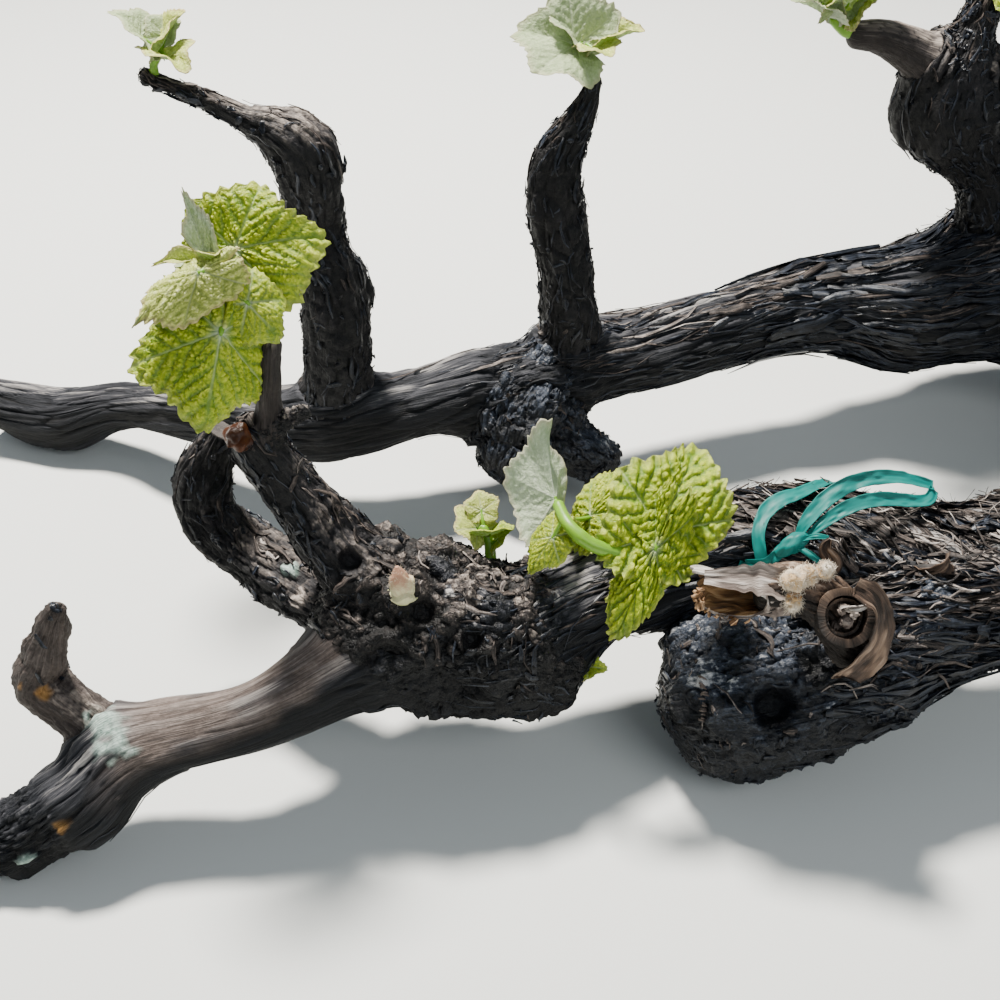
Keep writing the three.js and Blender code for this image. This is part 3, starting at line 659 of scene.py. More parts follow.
limbs = {
    "stump": limbOf(
        "head_stump", lookOfArm, [[372, 57, 47.5, 44], [340, 57, 47.5, 44], [300, 55, 47, 36]], "cut",
        "hidden"
    ),
    "frontCordon": limbOf(
        "front_arm", lookOfArm,
        [
            [318, 46, 46, 36], [285, 18, 47, 31], [245, -10, 50, 28], [168, -42, 51, 24],
            [118, -36, 51, 18.5], [88, -30, 52, 16.5], [36, -45, 46, 16], [0, -63, 42, 20],
            [-18, -63, 44, 24], [-36, -69, 42, 17.5], [-70, -88, 36, 10.5], [-104, -95, 29, 11.5],
            [-119, -106, 20, 13.5], [-136, -112, 11, 10.5], [-150, -114, 10, 10],
        ],
        end="cut", twist=-0.019, untwisted=250,
    ),
    "frontBurl": limbOf(
        "front_arm", lookOfBurl,
        [[162, -47, 50, 20], [136, -56, 45, 21], [93, -68, 29, 23.5], [68, -70, 24, 24.5]]
    ),
    "headCrown": limbOf(
        "front_arm", lookOfHead, [[-40, -66, 46, 14], [-27, -62, 51, 22], [2, -63, 46, 17]], "dome"
    ),
    "headKeel": limbOf(
        "front_arm", lookOfKeel, [[-24, -64, 42, 8], [-9, -66, 35, 13.5], [10, -66, 33, 15]], "dome",
    ),
    "backCordon": limbOf(
        "back_arm", lookOfBackArm,
        [
            [320, 66, 46, 37], [298, 88, 48, 35], [260, 118, 51, 34], [212, 135, 52, 32.5],
            [180, 126, 51, 29], [157, 119, 50, 25], [118, 114, 52, 16.5], [38, 85, 46, 15.5],
            [-37, 61, 41, 13.5], [-74, 57, 36, 14], [-114, 71, 30, 10.5], [-148, 90, 22, 9],
            [-176, 95, 13, 12], [-205, 102, 16, 9.5],
        ],
        end="cut",
    ),
    "middleKnob": limbOf("back_arm", lookOfBurl, [[22, 80, 44, 15], [8, 64, 30, 20], [4, 56, 23, 14]]),
    "lowerKnob": limbOf("back_arm", lookOfBurl, [[14, 64, 30, 12], [38, 58, 18, 9]]),
    "tallSpur": limbOf(
        "front_tall_spur", lookOfSpur,
        [[-24, -64, 48, 13], [-47, -55, 72, 10.5], [-57, -52, 86, 8.5], [-69, -51, 107, 6]]
    ),
    "tallSpurCane": limbOf(
        "front_tall_spur", lookOfTwig,
        [[-65, -51, 100, 4.5], [-62, -51, 126, 3.3], [-60.5, -50, 136, 3]], gnarl=0.05
    ),
    "tallSpurPeg": limbOf(
        "front_tall_spur", lookOfPeg, [[-65, -51, 109, 3], [-53, -55, 118, 2.2]], gnarl=0.05,
    ),
    "hookedSpur": limbOf(
        "front_hooked_spur", lookOfSpur,
        [[-36, -62, 44, 13], [-76, -33, 49, 9.5], [-89, -27, 59, 9], [-91, -24, 72, 8.5],
            [-84, -21, 88, 5.5]],
        end="cut",
    ),
    "stubSpur": limbOf(
        "front_stub_spur", lookOfWornSpur,
        [[-104, -96, 28, 7], [-130, -85, 44, 8], [-127, -85, 58, 6.5], [-121, -85, 73, 3.5]],
    ),
    "caneFoot": limbOf(
        "front_cane_stub", lookOfCane,
        [[104, -66, 44, 9], [99, -82, 60, 8.5], [88, -78, 72, 8], [74, -76, 73, 7]], end="hidden",
    ),
    "backLeftSpur": limbOf(
        "back_left_spur", lookOfBackSpur,
        [
            [-62, 57, 38, 12], [-57, 60, 83, 12.5], [-61, 62, 111, 9], [-66, 62, 141, 11.5],
            [-85, 62, 154, 4], [-112, 64, 165, 2.2],
        ],
    ),
    "backMiddleSpur": limbOf(
        "back_middle_spur", lookOfBackSpur,
        [[24, 80, 46, 12], [25, 80, 74, 11], [19, 80, 124, 9], [28, 80, 147, 4.5], [31, 80, 157, 2.8]],
    ),
    "backHeadSpur": limbOf(
        "back_head_spur", lookOfBackSpur,
        [[196, 131, 60, 18], [184, 128, 100, 10.5], [164, 125, 132, 20], [168, 125, 158, 8],
            [171, 125, 170, 5.5]],
    ),
    "backHeadCane": limbOf(
        "back_head_spur", lookOfTwig, [[164, 125, 142, 11], [138, 122, 156, 6.5], [126, 122, 158, 5]],
        gnarl=0.05
    ),
    "backHeadKnuckle": limbOf(
        "back_head_spur", lookOfBackSpur, [[176, 126, 138, 12], [190, 129, 131, 9]], gnarl=0.05
    ),
}


def smoothLine(places, step):
    # a Catmull-Rom line through the places, then walked in equal steps; any number of values a place
    p = vector(places)
    pad = np.vstack([p[:1], p, p[-1:]])
    t = np.linspace(0, 1, 24, endpoint=False)[:, None]
    spans = [
        0.5 * (2 * b + (c - a) * t + (2 * a - 5 * b + 4 * c - d) * t**2 + (3 * b - a - 3 * c + d) * t**3)
        for a, b, c, d in zip(pad[:-3], pad[1:-2], pad[2:-1], pad[3:])
    ]
    fine = np.vstack(spans + [p[-1:]])
    run = np.concatenate([[0], np.cumsum(np.linalg.norm(np.diff(fine[:, :3], axis=0), axis=1))])
    walk = np.linspace(0, run[-1], max(2, round(run[-1] / step)) + 1)
    return np.stack([np.interp(walk, run, column) for column in fine.T], -1), walk


def lineDistance(points, line):
    # signed distance to a chain of tapering segments, with the unit way out of it
    a, ab = line[:-1, :3].astype(np.float32), np.diff(line[:, :3], axis=0).astype(np.float32)
    thick, taper = line[:-1, 3].astype(np.float32), np.diff(line[:, 3]).astype(np.float32)
    squared = np.sum(ab * ab, 1)
    distances, ways = [], []
    for part in np.array_split(points.astype(np.float32), max(1, len(points) // 6000)):
        ap = part[:, None] - a
        t = np.clip(np.sum(ap * ab, -1) / squared, 0, 1)
        away = ap - t[..., None] * ab
        far = np.linalg.norm(away, axis=-1)
        outside = far - thick - t * taper
        k = np.argmin(outside, 1)[:, None]
        distances.append(np.take_along_axis(outside, k, 1)[:, 0])
        ways.append(np.take_along_axis(away, k[..., None], 1)[:, 0] / np.take_along_axis(far, k, 1))
    return np.concatenate(distances), np.concatenate(ways)


coarse = {name: smoothLine(limb["places"], 5)[0] for name, limb in limbs.items()}


def neighbours(name, reach):
    # the other limbs whose lines come near this one's
    own = coarse[name]
    found = []
    for other, line in coarse.items():
        gaps = farFrom(own[:, None, :3], line[None, :, :3]) - own[:, None, 3] - line[None, :, 3]
        if other != name and gaps.min() < reach:
            found.append(line)
    return found


def fillet(points, name, blend):
    # Where two limbs come together each surface is pushed out to the same smooth union of the two
    # distances: the smaller one, less a quarter of the blend times the square of their closeness.
    flat = points.reshape(-1, 3).copy()
    others = neighbours(name, blend)
    for _ in range(3 if others else 0):
        own, ownWay = lineDistance(flat, coarse[name])
        near, nearWay = lineDistance(flat, others[0])
        for line in others[1:]:
            more, way = lineDistance(flat, line)
            nearWay = np.where((more < near)[:, None], way, nearWay)
            near = np.minimum(near, more)
        closeness = np.clip(1 - np.abs(own - near) / blend, 0, 1)
        push = closeness**2 * blend / 4
        share = np.clip(0.5 + (near - own) / (2 * blend), 0, 1)[:, None]
        way = unit(share * ownWay + (1 - share) * nearWay)
        apply = soft(-blend * 0.6, 0, near) * (np.minimum(own, near) < push)
        flat += way * ((push - np.minimum(own, near)) * apply * (closeness > 0))[:, None]
    return flat.reshape(points.shape)


def endRings(kind, radius, step):
    # extra rings that close an end: how far each stands out and its share of the radius
    if kind == "dome":
        turn = np.linspace(0, 1.54, max(6, round(1.3 * radius / step)) + 1)[1:]
        return [(0.8 * radius * math.sin(a), math.cos(a)) for a in turn]
    if kind == "cut":
        return [(0.3, 0.94), (0.4, 0.8), (0.4, 0.62), (0.3, 0.44), (0.2, 0.26), (0.1, 0.1)]
    return [(0.25 * radius, 0.85), (0.42 * radius, 0.55), (0.5 * radius, 0.1)]


def eased(values, count):
    # the mean of each row and its neighbours, so many to either side
    pad = np.pad(values, ((count, count), (0, 0)), mode="edge")
    total = np.vstack([0 * pad[:1], np.cumsum(pad, axis=0)])
    return (total[2 * count + 1 :] - total[: -2 * count - 1]) / (2 * count + 1)


def limbRings(limb):
    # every ring's middle, way along, radius, run and kind (0 body, 1 dome, 2 cut), from one end to the
    # other; rings turn more slowly than the line does, so that they don't cross where it bends
    step = limb["look"]["step"]
    line, run = smoothLine(limb["places"], step)
    radius = line[:, 3]
    along = unit(np.gradient(line[:, :3], axis=0))
    along = unit(eased(along, round(0.7 * radius.mean() / step)))
    kinds = {"hidden": 0, "dome": 1, "cut": 2}
    ends = []
    for end, i, side in (("start", 0, -1), ("end", -1, 1)):
        kind, way = kinds[limb[end]], side * along[i]
        ends.append([
            (line[i, :3] + way * out, along[i], radius[i] * share, run[i] + side * out, kind)
            for out, share in endRings(limb[end], radius[i], step)
        ])
    body = [(line[i, :3], along[i], radius[i], run[i], 0) for i in range(len(line))]
    return [np.array(column) for column in zip(*ends[0][::-1], *body, *ends[1])]


def swelling(run, angle, amount):
    # the source's slow waves: an oval, three ridges and bulges on one side, each turning along the limb
    first, second, third = (fullTurn * run / length for length in (107, 69, 44))
    oval = np.sin(2 * angle + first) / 2
    ridges = np.sin(3 * angle - second + 2) / 3
    bulges = np.sin(third) * np.cos(angle + 1) / 3
    return 1 + amount * (oval + ridges + bulges)


def warts(points, seed):
    # Domes on scattered cells, pushed about by noise; about a fifth of the cells are holes instead. A
    # set of half the size lies over them.
    total = 0
    for share, scale in ((0.7, 1), (0.3, 2.1)):
        place = points * scale
        push = np.stack([waveInSpace(place / 2.3, seed + k) - 0.5 for k in range(3)], -1)
        near, second, value = cellsInSpace(place + 1.2 * push, seed + 5 * round(scale))
        dome = np.sqrt(np.clip(1 - near**2, 0, 1)) * soft(0, 0.3, second - near)
        total = total + share * dome * (0.4 + 0.75 * value) * (value > 0.2)
    return total


def barkRelief(grid, body, cap, girth, look, seed, twist=0.0):
    # Soft lumps, furrows that are sharp in their valleys, plates with raised ends and cracks between
    # them, and fibres. What follows the grain is noise on a map of the run and the turn, so it closes
    # round the limb, and fades out towards a domed end; lumps and warts are noise in space.
    run, angle = grid
    drift = 0.5 * (wave(run / 30, angle / fullTurn * 3, 3, seed) - 0.5) + twist
    turn = (angle + drift) / fullTurn

    def waves(kind, finer, seed):
        # noise that follows the grain; each finer set has twice the cells round the limb
        around = max(3, round(girth / look[kind + "Width"])) * (2 if finer > 1 else 1)
        return wave(run / look[kind + "Length"] * finer, turn * around, around, seed)

    lump = waveInSpace(body / look["lumpSize"] + 60, seed + 1) - 0.5
    furrow = np.abs(2 * waves("furrow", 1, seed + 2) - 1) ** 0.6
    finer = np.abs(2 * waves("furrow", 1.7, seed + 3) - 1) ** 0.7
    around = max(3, round(girth / look["plateWidth"]))
    nearest, second, value, offset = cells(run / look["plateLength"], turn * around, around, seed + 4)
    edge = soft(0.0, 0.22, second - nearest)
    plate = (value - 0.5 + 0.9 * offset * (value - 0.4)) * edge
    fibre = 0.6 * waves("fibre", 1, seed + 7) + 0.4 * waves("fibre", 1.6, seed + 8)
    along = look["furrow"] * (0.65 * furrow + 0.35 * finer - 0.55) + look["plate"] * plate
    along = along - look["crack"] * (1 - edge) + look["fibre"] * 2 * (fibre - 0.5)
    height = look["lump"] * 2 * lump + along * cap
    relief = 0.42 * furrow + 0.23 * finer + 0.3 * edge + 0.3 * (value - 0.5) + 0.5 * (fibre - 0.5)
    relief = np.clip(0.45 + (relief - 0.45) * cap, 0, 1)
    if look["wart"] > 0:
        wart = warts(body / look["wartSize"] + 200, seed + 12)
        height = height + look["wart"] * (wart - 0.5)
        crest = np.clip(0.85 * wart + 0.35 * (furrow - 0.4) * cap, 0, 1)
        relief = (1 - look["cork"]) * relief + look["cork"] * crest
    return height, relief


# Hollows and healed scars in the wood: middle, radius and depth, with a raised lip and fine rings inside.
pits = [
    dict(at=[78.5, -88.7, 39.3], radius=6, depth=8, rings=3),
    dict(at=[55.2, -82.9, 36.1], radius=6.5, depth=2.2, rings=3, ridge=0.4, tone=0.36),
    dict(at=[66, -90, 34], radius=4.5, depth=0.8, rings=3, tone=0.4),
    dict(at=[91, -80, 48], radius=5, depth=3.5),
    dict(at=[-30.7, -81.2, 52.6], radius=7, depth=2.6, rings=3, ridge=0.45, tone=0.4),
    dict(at=[-21, -78, 66], radius=3.5, depth=4),
    dict(at=[-8, -80, 58], radius=3.2, depth=4),
    dict(at=[-42.6, -64.8, 74], radius=3.5, depth=4),
]
pitReach = 7  # a pit further than this from a limb leaves it as it is
# Patches of lichen, rusty spots and pale weathered places: middle, radius and amount.
lichens = [
    [-107, -101, 38, 10, 1], [-112, -96, 42, 8, 1], [-132.4, -121.5, 12.5, 4.5, 1],
    [-63.4, -47.3, 55.2, 4.5, 1], [-14, 46, 48, 7, 1], [-4, 44, 40, 5, 1],
]
rusts = [
    [-121.5, -117.9, 23.2, 4.5, 1], [-127.4, -92.1, 47.7, 4.5, 1], [-133, -90, 50, 4, 1],
    [-122, -90, 42, 2.5, 1],
]
bleached = [
    [57, -80, 45, 13, 0.85], [-59.7, -56.4, 51.1, 7, 0.7], [-48.5, -77.4, 54.8, 4, 0.6],
    [-14, -72, 62, 20, 0.3], [-55, -54, 117, 9, 0.6], [100, -42, 66, 26, 0.2], [-52, -56, 84, 9, 0.35],
    [130, -55, 66, 24, 0.2], [-126, -85, 60, 24, 0.3],
]
# Where the arms themselves turn to cork: middle, radius, whose look they take and how far they sink.
knobs = [
    [-12, -66, 48, 34, lookOfHead, 1.2], [78, -74, 32, 40, lookOfBurl, 1.2],
    [14, 68, 34, 32, lookOfBurl, 0], [-62, 58, 40, 18, lookOfBurl, 0],
    [-132, -112, 14, 18, lookOfBurl, 0],
]


def spots(points, patches, jitter):
    # 1 inside the patches and 0 outside, with a ragged edge by the jitter
    found = np.zeros(points.shape[:-1])
    for x, y, z, radius, amount in patches:
        far = farFrom(points, (x, y, z)) / radius
        found = np.maximum(found, amount * soft(0.5, 0.78, (1.25 - far) * 0.7 + 0.45 * jitter))
    return found


def dressLimb(name, seed):
    limb = limbs[name]
    look = limb["look"]
    middle, along, radius, run, kind = limbRings(limb)
    upright = abs(limb["places"][0][2] - limb["places"][-1][2]) > 30
    spokes, angle = ringSpokes(along, vector([0, 1, 0] if upright else [0, 0, 1]), look["around"])
    grid = np.meshgrid(run, angle, indexing="ij")
    reach = radius[:, None] * swelling(*grid, limb.get("gnarl", 0.1))
    body = fillet(middle[:, None] + reach[..., None] * spokes, name, look["blend"])
    ways = gridNormals(body)
    mean = float(radius[kind == 0].mean())
    cap = np.where(kind == 1, soft(0, 0.75, radius / radius[kind == 0][-1]), 1)[:, None]
    twist = limb.get("twist", 0.004) * np.minimum(grid[0], limb.get("untwisted", 999))
    height, relief = barkRelief(grid, body, cap, fullTurn * mean, look, seed, twist)
    height = height * (np.clip(radius / mean, 0.35, 1)[:, None] * np.where(kind == 2, 0.12, 1)[:, None])
    cork = np.full(relief.shape, look["cork"])
    for x, y, z, size, knobLook, sink in knobs if look in (lookOfArm, lookOfBackArm) else []:
        far = farFrom(body, (x, y, z)) / size
        share = soft(1.05, 0.75, far + 0.25 * (waveInSpace(body / 9 + 70, 5) - 0.5))
        if share.max() > 0:
            rough, crest = barkRelief(grid, body, cap, fullTurn * mean, knobLook, seed + 20, twist)
            height = height + (rough - sink - height) * share
            relief = relief + (crest - relief) * share
            cork = np.maximum(cork, share * knobLook["cork"])
    for pit in pits:
        far = farFrom(body, pit["at"])
        if far.min() > pitReach:
            continue
        far = farFrom(body, body.reshape(-1, 3)[np.argmin(far)]) / pit["radius"]
        hollow = np.exp(-(far**4))
        lip = np.exp(-(((far - 1.15) / 0.25) ** 2))
        rings = hollow * np.sin(far * pit.get("rings", 0) * fullTurn)
        height = height * (1 - 0.85 * hollow) - pit["depth"] * hollow + 0.9 * lip
        height = height + pit.get("ridge", 0.25) * rings
        # inside a hollow the tone drops to the pit's own, darkest where none is given: painted shade in
        # the deep holes
        relief = relief * (1 - hollow) + pit.get("tone", 0) * hollow * (1 + 0.5 * rings)
    jitter = waveInSpace(body / 2.2 + 300, 91) - 0.35
    lichen = spots(body, lichens, jitter)
    height = height * (1 - 0.7 * lichen) + lichen * (0.5 + 1.2 * waveInSpace(body / 1.3 + 400, 92))
    smooth = np.full(relief.shape, look["smooth"])
    if name == "frontCordon":
        # a worn tan stretch on its left half, kept to the upper side as partly painted light from above,
        # and a plainer one between the head and the burl
        tan = soft(-32, -54, body[..., 0]) * soft(-116, -98, body[..., 0])
        plain = soft(-2, 12, body[..., 0]) * soft(72, 50, body[..., 0])
        height = height * (1 - 0.75 * tan) * (1 - 0.5 * plain)
        smooth = 0.8 * tan * soft(0.2, 0.6, wave(grid[0] / 12, grid[1] / fullTurn * 6, 6, 17) + 0.25)
        smooth = smooth * soft(0.15, 0.9, ways[..., 2] + 0.8 * (waveInSpace(body / 8 + 90, 6) - 0.5))
    surface = body + ways * height[..., None]
    surface[..., 2] = np.maximum(surface[..., 2], ground)
    # upper sides are lighter: partly weathering, partly painted light from above; pale scales this and
    # even adds it all over
    patchy = 0.6 + 0.4 * wave(grid[0] / 22, grid[1] / fullTurn * 5, 5, seed + 30)
    weather = look.get("pale", 1) * (soft(-0.15, 0.95, ways[..., 2]) ** 1.3 * patchy)
    weather = np.clip(weather + look.get("even", 0) + spots(body, bleached, jitter), 0, 1.2)
    grain = np.stack([grid[0], mean * np.cos(grid[1]), mean * np.sin(grid[1])], -1) * metre
    ringShare = np.where(kind == 2, radius / radius[kind == 0][0 if kind[0] == 2 else -1], 1)
    grain[..., 1:] *= ringShare[:, None, None]
    rust = spots(body, rusts, jitter)
    part = closedTube(
        surface, int(kind[0] == 2), int(kind[-1] == 2), ((kind[:-1] == 2) | (kind[1:] == 2)).astype(int),
        relief=relief, weather=weather, lichen=lichen, smooth=smooth, cork=cork, rust=rust, grain=grain,
    )
    face = sawnWood if name == "stump" else greyCut
    slot = "cane" if look is lookOfCane else "bark"
    joinParts(name, [part], [barks[look["bark"]], face], limb["node"], slot, sharp=62)
    return dict(
        body=body, ways=ways, run=run, girth=fullTurn * mean, weather=weather, kind=kind, skin=surface,
        step=look["step"], share=np.clip(radius / mean, 0.2, 3),
    )


surfaces = {name: dressLimb(name, 11 + 40 * number) for number, name in enumerate(limbs)}
print("limbs dressed")


def strips(middle, out, width, thick, cup):
    # Long thin closed bodies, four corners to a ring: each follows its own middle line, lies square to
    # its way out, and has its two edges raised above its middle by the cup.
    count, steps = middle.shape[:2]
    along = unit(np.gradient(middle, axis=1))
    across = unit(np.cross(out, along))
    half = across * width[..., None] / 2
    raised = out * cup[..., None]
    rings = np.stack([middle + half + raised, middle, middle - half + raised, middle - out * thick], 2)
    caps = np.array([[3, 2, 1, 0], np.arange(4) + 4 * (steps - 1)])
    faces = np.vstack([gridFaces(steps, 4), caps])
    quads = (faces[None] + (np.arange(count) * 4 * steps)[:, None, None]).reshape(-1, 4)
    return rings.reshape(-1, 3), quads, len(faces)


def stripGrain(far, width, apart):
    # the way along a strip, across it, and a number that sets it apart from the others
    across = np.stack([width / 2, 0 * width, -width / 2, 0 * width], -1)
    return np.stack([far + 0 * across, across, 0 * across + apart], -1) * metre


def sample(grid, row, col):
    # the grid's value between its places, both ways, round the seam
    i = np.clip(np.floor(row).astype(int), 0, grid.shape[0] - 2)
    a = np.clip(row - i, 0, 1)[..., None]
    low = np.floor(col).astype(int)
    b = (col - low)[..., None]
    j, k = low % grid.shape[1], (low + 1) % grid.shape[1]
    near, far = (grid[row, j] * (1 - b) + grid[row, k] * b for row in (i, i + 1))
    return near * (1 - a) + far * a


# Loose bark

lookOfShreds = {
    "tangle": dict(
        density=0.08, length=(7, 36), width=(0.2, 1.7), lift=(0.0, 3.2), drift=0.22, curl=0.17,
        wavy=0.045, blunt=0.55, tone=0.0,
    ),
    "plates": dict(
        density=0.03, length=(16, 64), width=(0.8, 4.6), lift=(0.0, 2.2), drift=0.1, curl=0.05, wavy=0.03,
        blunt=0.3, tone=-0.46,
    ),
    "long": dict(
        density=0.055, length=(8, 40), width=(0.3, 1.6), lift=(0.0, 1.0), drift=0.09, curl=0.07,
        wavy=0.02, blunt=0.8, tone=-0.15,
    ),
    "hairs": dict(
        density=0.05, length=(4, 20), width=(0.15, 0.5), lift=(0.0, 4.5), drift=0.5, curl=0.3, wavy=0.06,
        blunt=0.6, tone=0.1,
    ),
    "flakes": dict(
        density=0.05, length=(1.4, 5.5), width=(0.6, 2.4), lift=(0.0, 1.1), drift=2.5, curl=0.08,
        wavy=0.03, blunt=0.5, tone=-0.32,
    ),
    "ropes": dict(
        density=0.05, length=(3, 16), width=(0.4, 1.9), lift=(0.0, 1.1), drift=0.22, curl=0.1, wavy=0.03,
        blunt=0.7, tone=-0.08,
    ),
}
# Which kinds grow where. A zone fades them in between two places along x, or two slopes of the bark,
# and may turn them round the limb.
shredGroups = {
    "frontArmPlates": [
        "front_arm",
        ("frontCordon", "plates", {"x": (50, 85), "turn": 0.42, "up": (-0.9, 0.5)}),
        ("frontBurl", "plates", {"x": (84, 112), "turn": 0.42, "up": (-0.9, 0.5)}),
        ("frontCordon", "long", {"x": (-12, 10), "share": 0.5, "tone": -0.22}),
        ("frontCordon", "long", {"x": (-24, -60), "up": (0.5, -0.3), "share": 0.06}),
    ],
    "frontArmTangle": [
        "front_arm",
        ("frontCordon", "tangle", {"x": (64, 86), "up": (-0.1, 0.6), "turn": 0.42}),
        ("frontCordon", "hairs", {"x": (64, 86), "up": (0.0, 0.6), "turn": 0.42}),
        ("frontBurl", "tangle", {"x": (92, 112), "up": (-0.1, 0.5), "share": 0.8, "turn": 0.42}),
    ],
    "burlFlakes": [
        "front_arm",
        ("frontBurl", "flakes", {"share": 0.5}),
        ("frontBurl", "ropes", {"x": (96, 66), "up": (-0.3, 0.3), "share": 0.35, "turn": 1.35}),
        ("headCrown", "flakes", {"share": 0.7}),
        ("headCrown", "ropes", {"share": 0.4, "turn": 1.3}),
        ("headKeel", "flakes", {"share": 0.5}),
        ("headKeel", "ropes", {"share": 0.35, "turn": 0.8}),
    ],
    "backArmShreds": [
        "back_arm",
        ("backCordon", "long", {"x": (-40, 90), "share": 0.6}),
        ("backCordon", "plates", {"x": (60, 150), "share": 0.7}),
        ("backCordon", "tangle", {"x": (130, 220), "up": (0.1, 0.7), "share": 0.3}),
        ("middleKnob", "flakes", {"share": 0.6}),
        ("lowerKnob", "flakes", {"share": 0.6}),
    ],
    "stumpShreds": [
        "head_stump",
        ("stump", "long", {"share": 0.35}), ("stump", "plates", {"share": 0.6}),
        ("stump", "tangle", {"share": 0.1}),
    ],
    "tallSpurShreds": ["front_tall_spur", ("tallSpur", "ropes", {}),
        ("tallSpur", "flakes", {"share": 0.3})],
    "hookedSpurShreds": [
        "front_hooked_spur", ("hookedSpur", "ropes", {"share": 0.5}),
        ("hookedSpur", "flakes", {"share": 0.5})
    ],
    "stubSpurShreds": ["front_stub_spur", ("stubSpur", "flakes", {"share": 0.15})],
    "backLeftShreds": [
        "back_left_spur", ("backLeftSpur", "ropes", {"share": 0.6}),
        ("backLeftSpur", "flakes", {"share": 0.4})
    ],
    "backMiddleShreds": [
        "back_middle_spur", ("backMiddleSpur", "ropes", {"share": 0.6}),
        ("backMiddleSpur", "flakes", {"share": 0.4})
    ],
    "backHeadShreds": [
        "back_head_spur",
        ("backHeadSpur", "ropes", {"share": 0.7}), ("backHeadSpur", "flakes", {}),
        ("backHeadKnuckle", "flakes", {}),
    ],
}


def shredLines(name, look, zone, chance):
    # Each shred starts somewhere on the limb and runs in its own direction, close to the bark in its
    # middle and lifting towards its ends with the third power of the way there.
    surface = surfaces[name]
    rows, cols = surface["body"].shape[:2]
    run = surface["run"]
    count = int(look["density"] * zone.get("share", 1) * (run[-1] - run[0]) * surface["girth"])
    t = np.linspace(0, 1, 6)[None]
    start = chance.uniform(0, 1, count)[:, None] * (rows - 1)
    column = chance.uniform(0, cols, count)[:, None]
    kept = chance.uniform(0, 1, count)
    for key, grid, axis in (("x", "body", 0), ("up", "ways", 2)):
        if key in zone:
            value = sample(surface[grid], start, column)[:, 0, axis]
            kept = kept / np.maximum(soft(*zone[key], value), 1e-6)
    solid = np.interp(start[:, 0], np.arange(rows), surface["kind"] == 2) < 0.01
    start, column = start[(kept < 1) & solid], column[(kept < 1) & solid]
    count = len(start)
    short, long = look["length"]
    length = short + (long - short) * chance.uniform(0, 1, (count, 1)) ** 2
    turned = zone.get("turn", 0) + chance.normal(0, look["drift"], (count, 1))
    share = np.interp(start, np.arange(rows), surface["share"])
    bent = chance.normal(0, look["curl"], (count, 1)) * length * ((t - 0.5) ** 2 * 4 - 0.5)
    bent = bent + look["wavy"] * length * np.sin(fullTurn * (1.3 * t + chance.uniform(0, 1, (count, 1))))
    ahead = (t - 0.5) * length
    row = start + (ahead * np.cos(turned) - bent * np.sin(turned)) / surface["step"]
    column = column + (ahead * np.sin(turned) + bent * np.cos(turned)) * cols / (surface["girth"] * share)
    # a shred that would run over the end of the bark is moved back along it
    whole = np.flatnonzero(surface["kind"] != 2)
    first, last = whole[0], min(whole[-1], rows - 1.01)
    early, late = first - row.min(1, keepdims=True), row.max(1, keepdims=True) - last
    row = np.clip(row + np.maximum(0, early) - np.maximum(0, late), first, last)
    # loose bark spans the small hollows under it
    flat = sample(surface["body"], row, column)
    out = unit(sample(surface["ways"], row, column))
    rise = np.sum((sample(surface["skin"], row, column) - flat) * out, -1)
    rise = 0.5 * rise + 0.5 * np.quantile(rise, 0.75, axis=1, keepdims=True)
    low, high = look["lift"]
    ends = chance.uniform(0, 1, (count, 2)) ** 2.5 * (high - low) + low
    lift = ends[:, :1] * (1 - t) ** 3 + ends[:, 1:] * t**3
    ragged = chance.normal(0, 0.12, (count, 6))
    middle = flat + out * (rise + 0.15 + lift + ragged)[..., None]
    thin, fat = look["width"]
    taper = np.sin(np.pi * np.clip(0.05 + 0.9 * t, 0, 1)) ** look["blunt"]
    width = (thin + (fat - thin) * chance.uniform(0, 1, (count, 1)) ** 2) * taper
    width = width * chance.uniform(0.7, 1.25, (count, 6))
    weather = sample(surface["weather"][..., None], row, column).mean((1, 2))
    # upper sides lift the tone to grey and silver shreds, partly weathering and partly painted light
    tone = look["tone"] + zone.get("tone", 0) + 1.1 * weather + chance.normal(0, 0.27, count)
    cup = chance.uniform(-0.1, 0.4, count)
    # none crosses a hollow or a scar
    clear = np.ones(count, bool)
    for pit in pits:
        clear &= farFrom(flat, pit["at"]).min(1) > pit["radius"]
    return [values[clear] for values in (middle, out, width, cup, tone)]


def growShreds(name, node, sources, seed):
    chance = np.random.default_rng(seed)
    found = [shredLines(limb, lookOfShreds[kind], zone, chance) for limb, kind, zone in sources]
    middle, out, width, cup, tone = (np.concatenate(column) for column in zip(*found))
    points, quads, each = strips(middle, out, width, 0.2, cup[:, None] * width)
    # a shred that dips below the floor is raised on to it
    points = points.reshape(len(middle), -1, 3)
    points[..., 2] += np.maximum(0, ground - points[..., 2].min(1))[:, None]
    far = np.cumsum(np.linalg.norm(np.diff(middle, axis=1, prepend=middle[:, :1]), axis=-1), 1)[..., None]
    grain = stripGrain(far, width, chance.uniform(0, 90, (len(middle), 1, 1)))
    shade = np.digitize(tone, [0.4, 0.8, 1.16])
    addPiece(name, points, [quads], shreds, node, "bark", pick=[np.repeat(shade, each)], grain=grain)


for number, (name, (node, *sources)) in enumerate(shredGroups.items()):
    growShreds(name, node, sources, 100 + number)
print("loose bark laid")


# Leaves

lookOfLeaf = dict(
    spacing=62, shorter=0.34, dip=0.15, uneven=0.22, notch=0.25, teeth=34, toothDepth=0.1, rows=0.18,
    sideAngle=46, blister=0.04, pucker=0.05, puff=0.5, rough=1, arch=0.04, ruffle=0.08, droop=0.13,
    thick=0.22, detail=0.62, width=1, kind="",
)


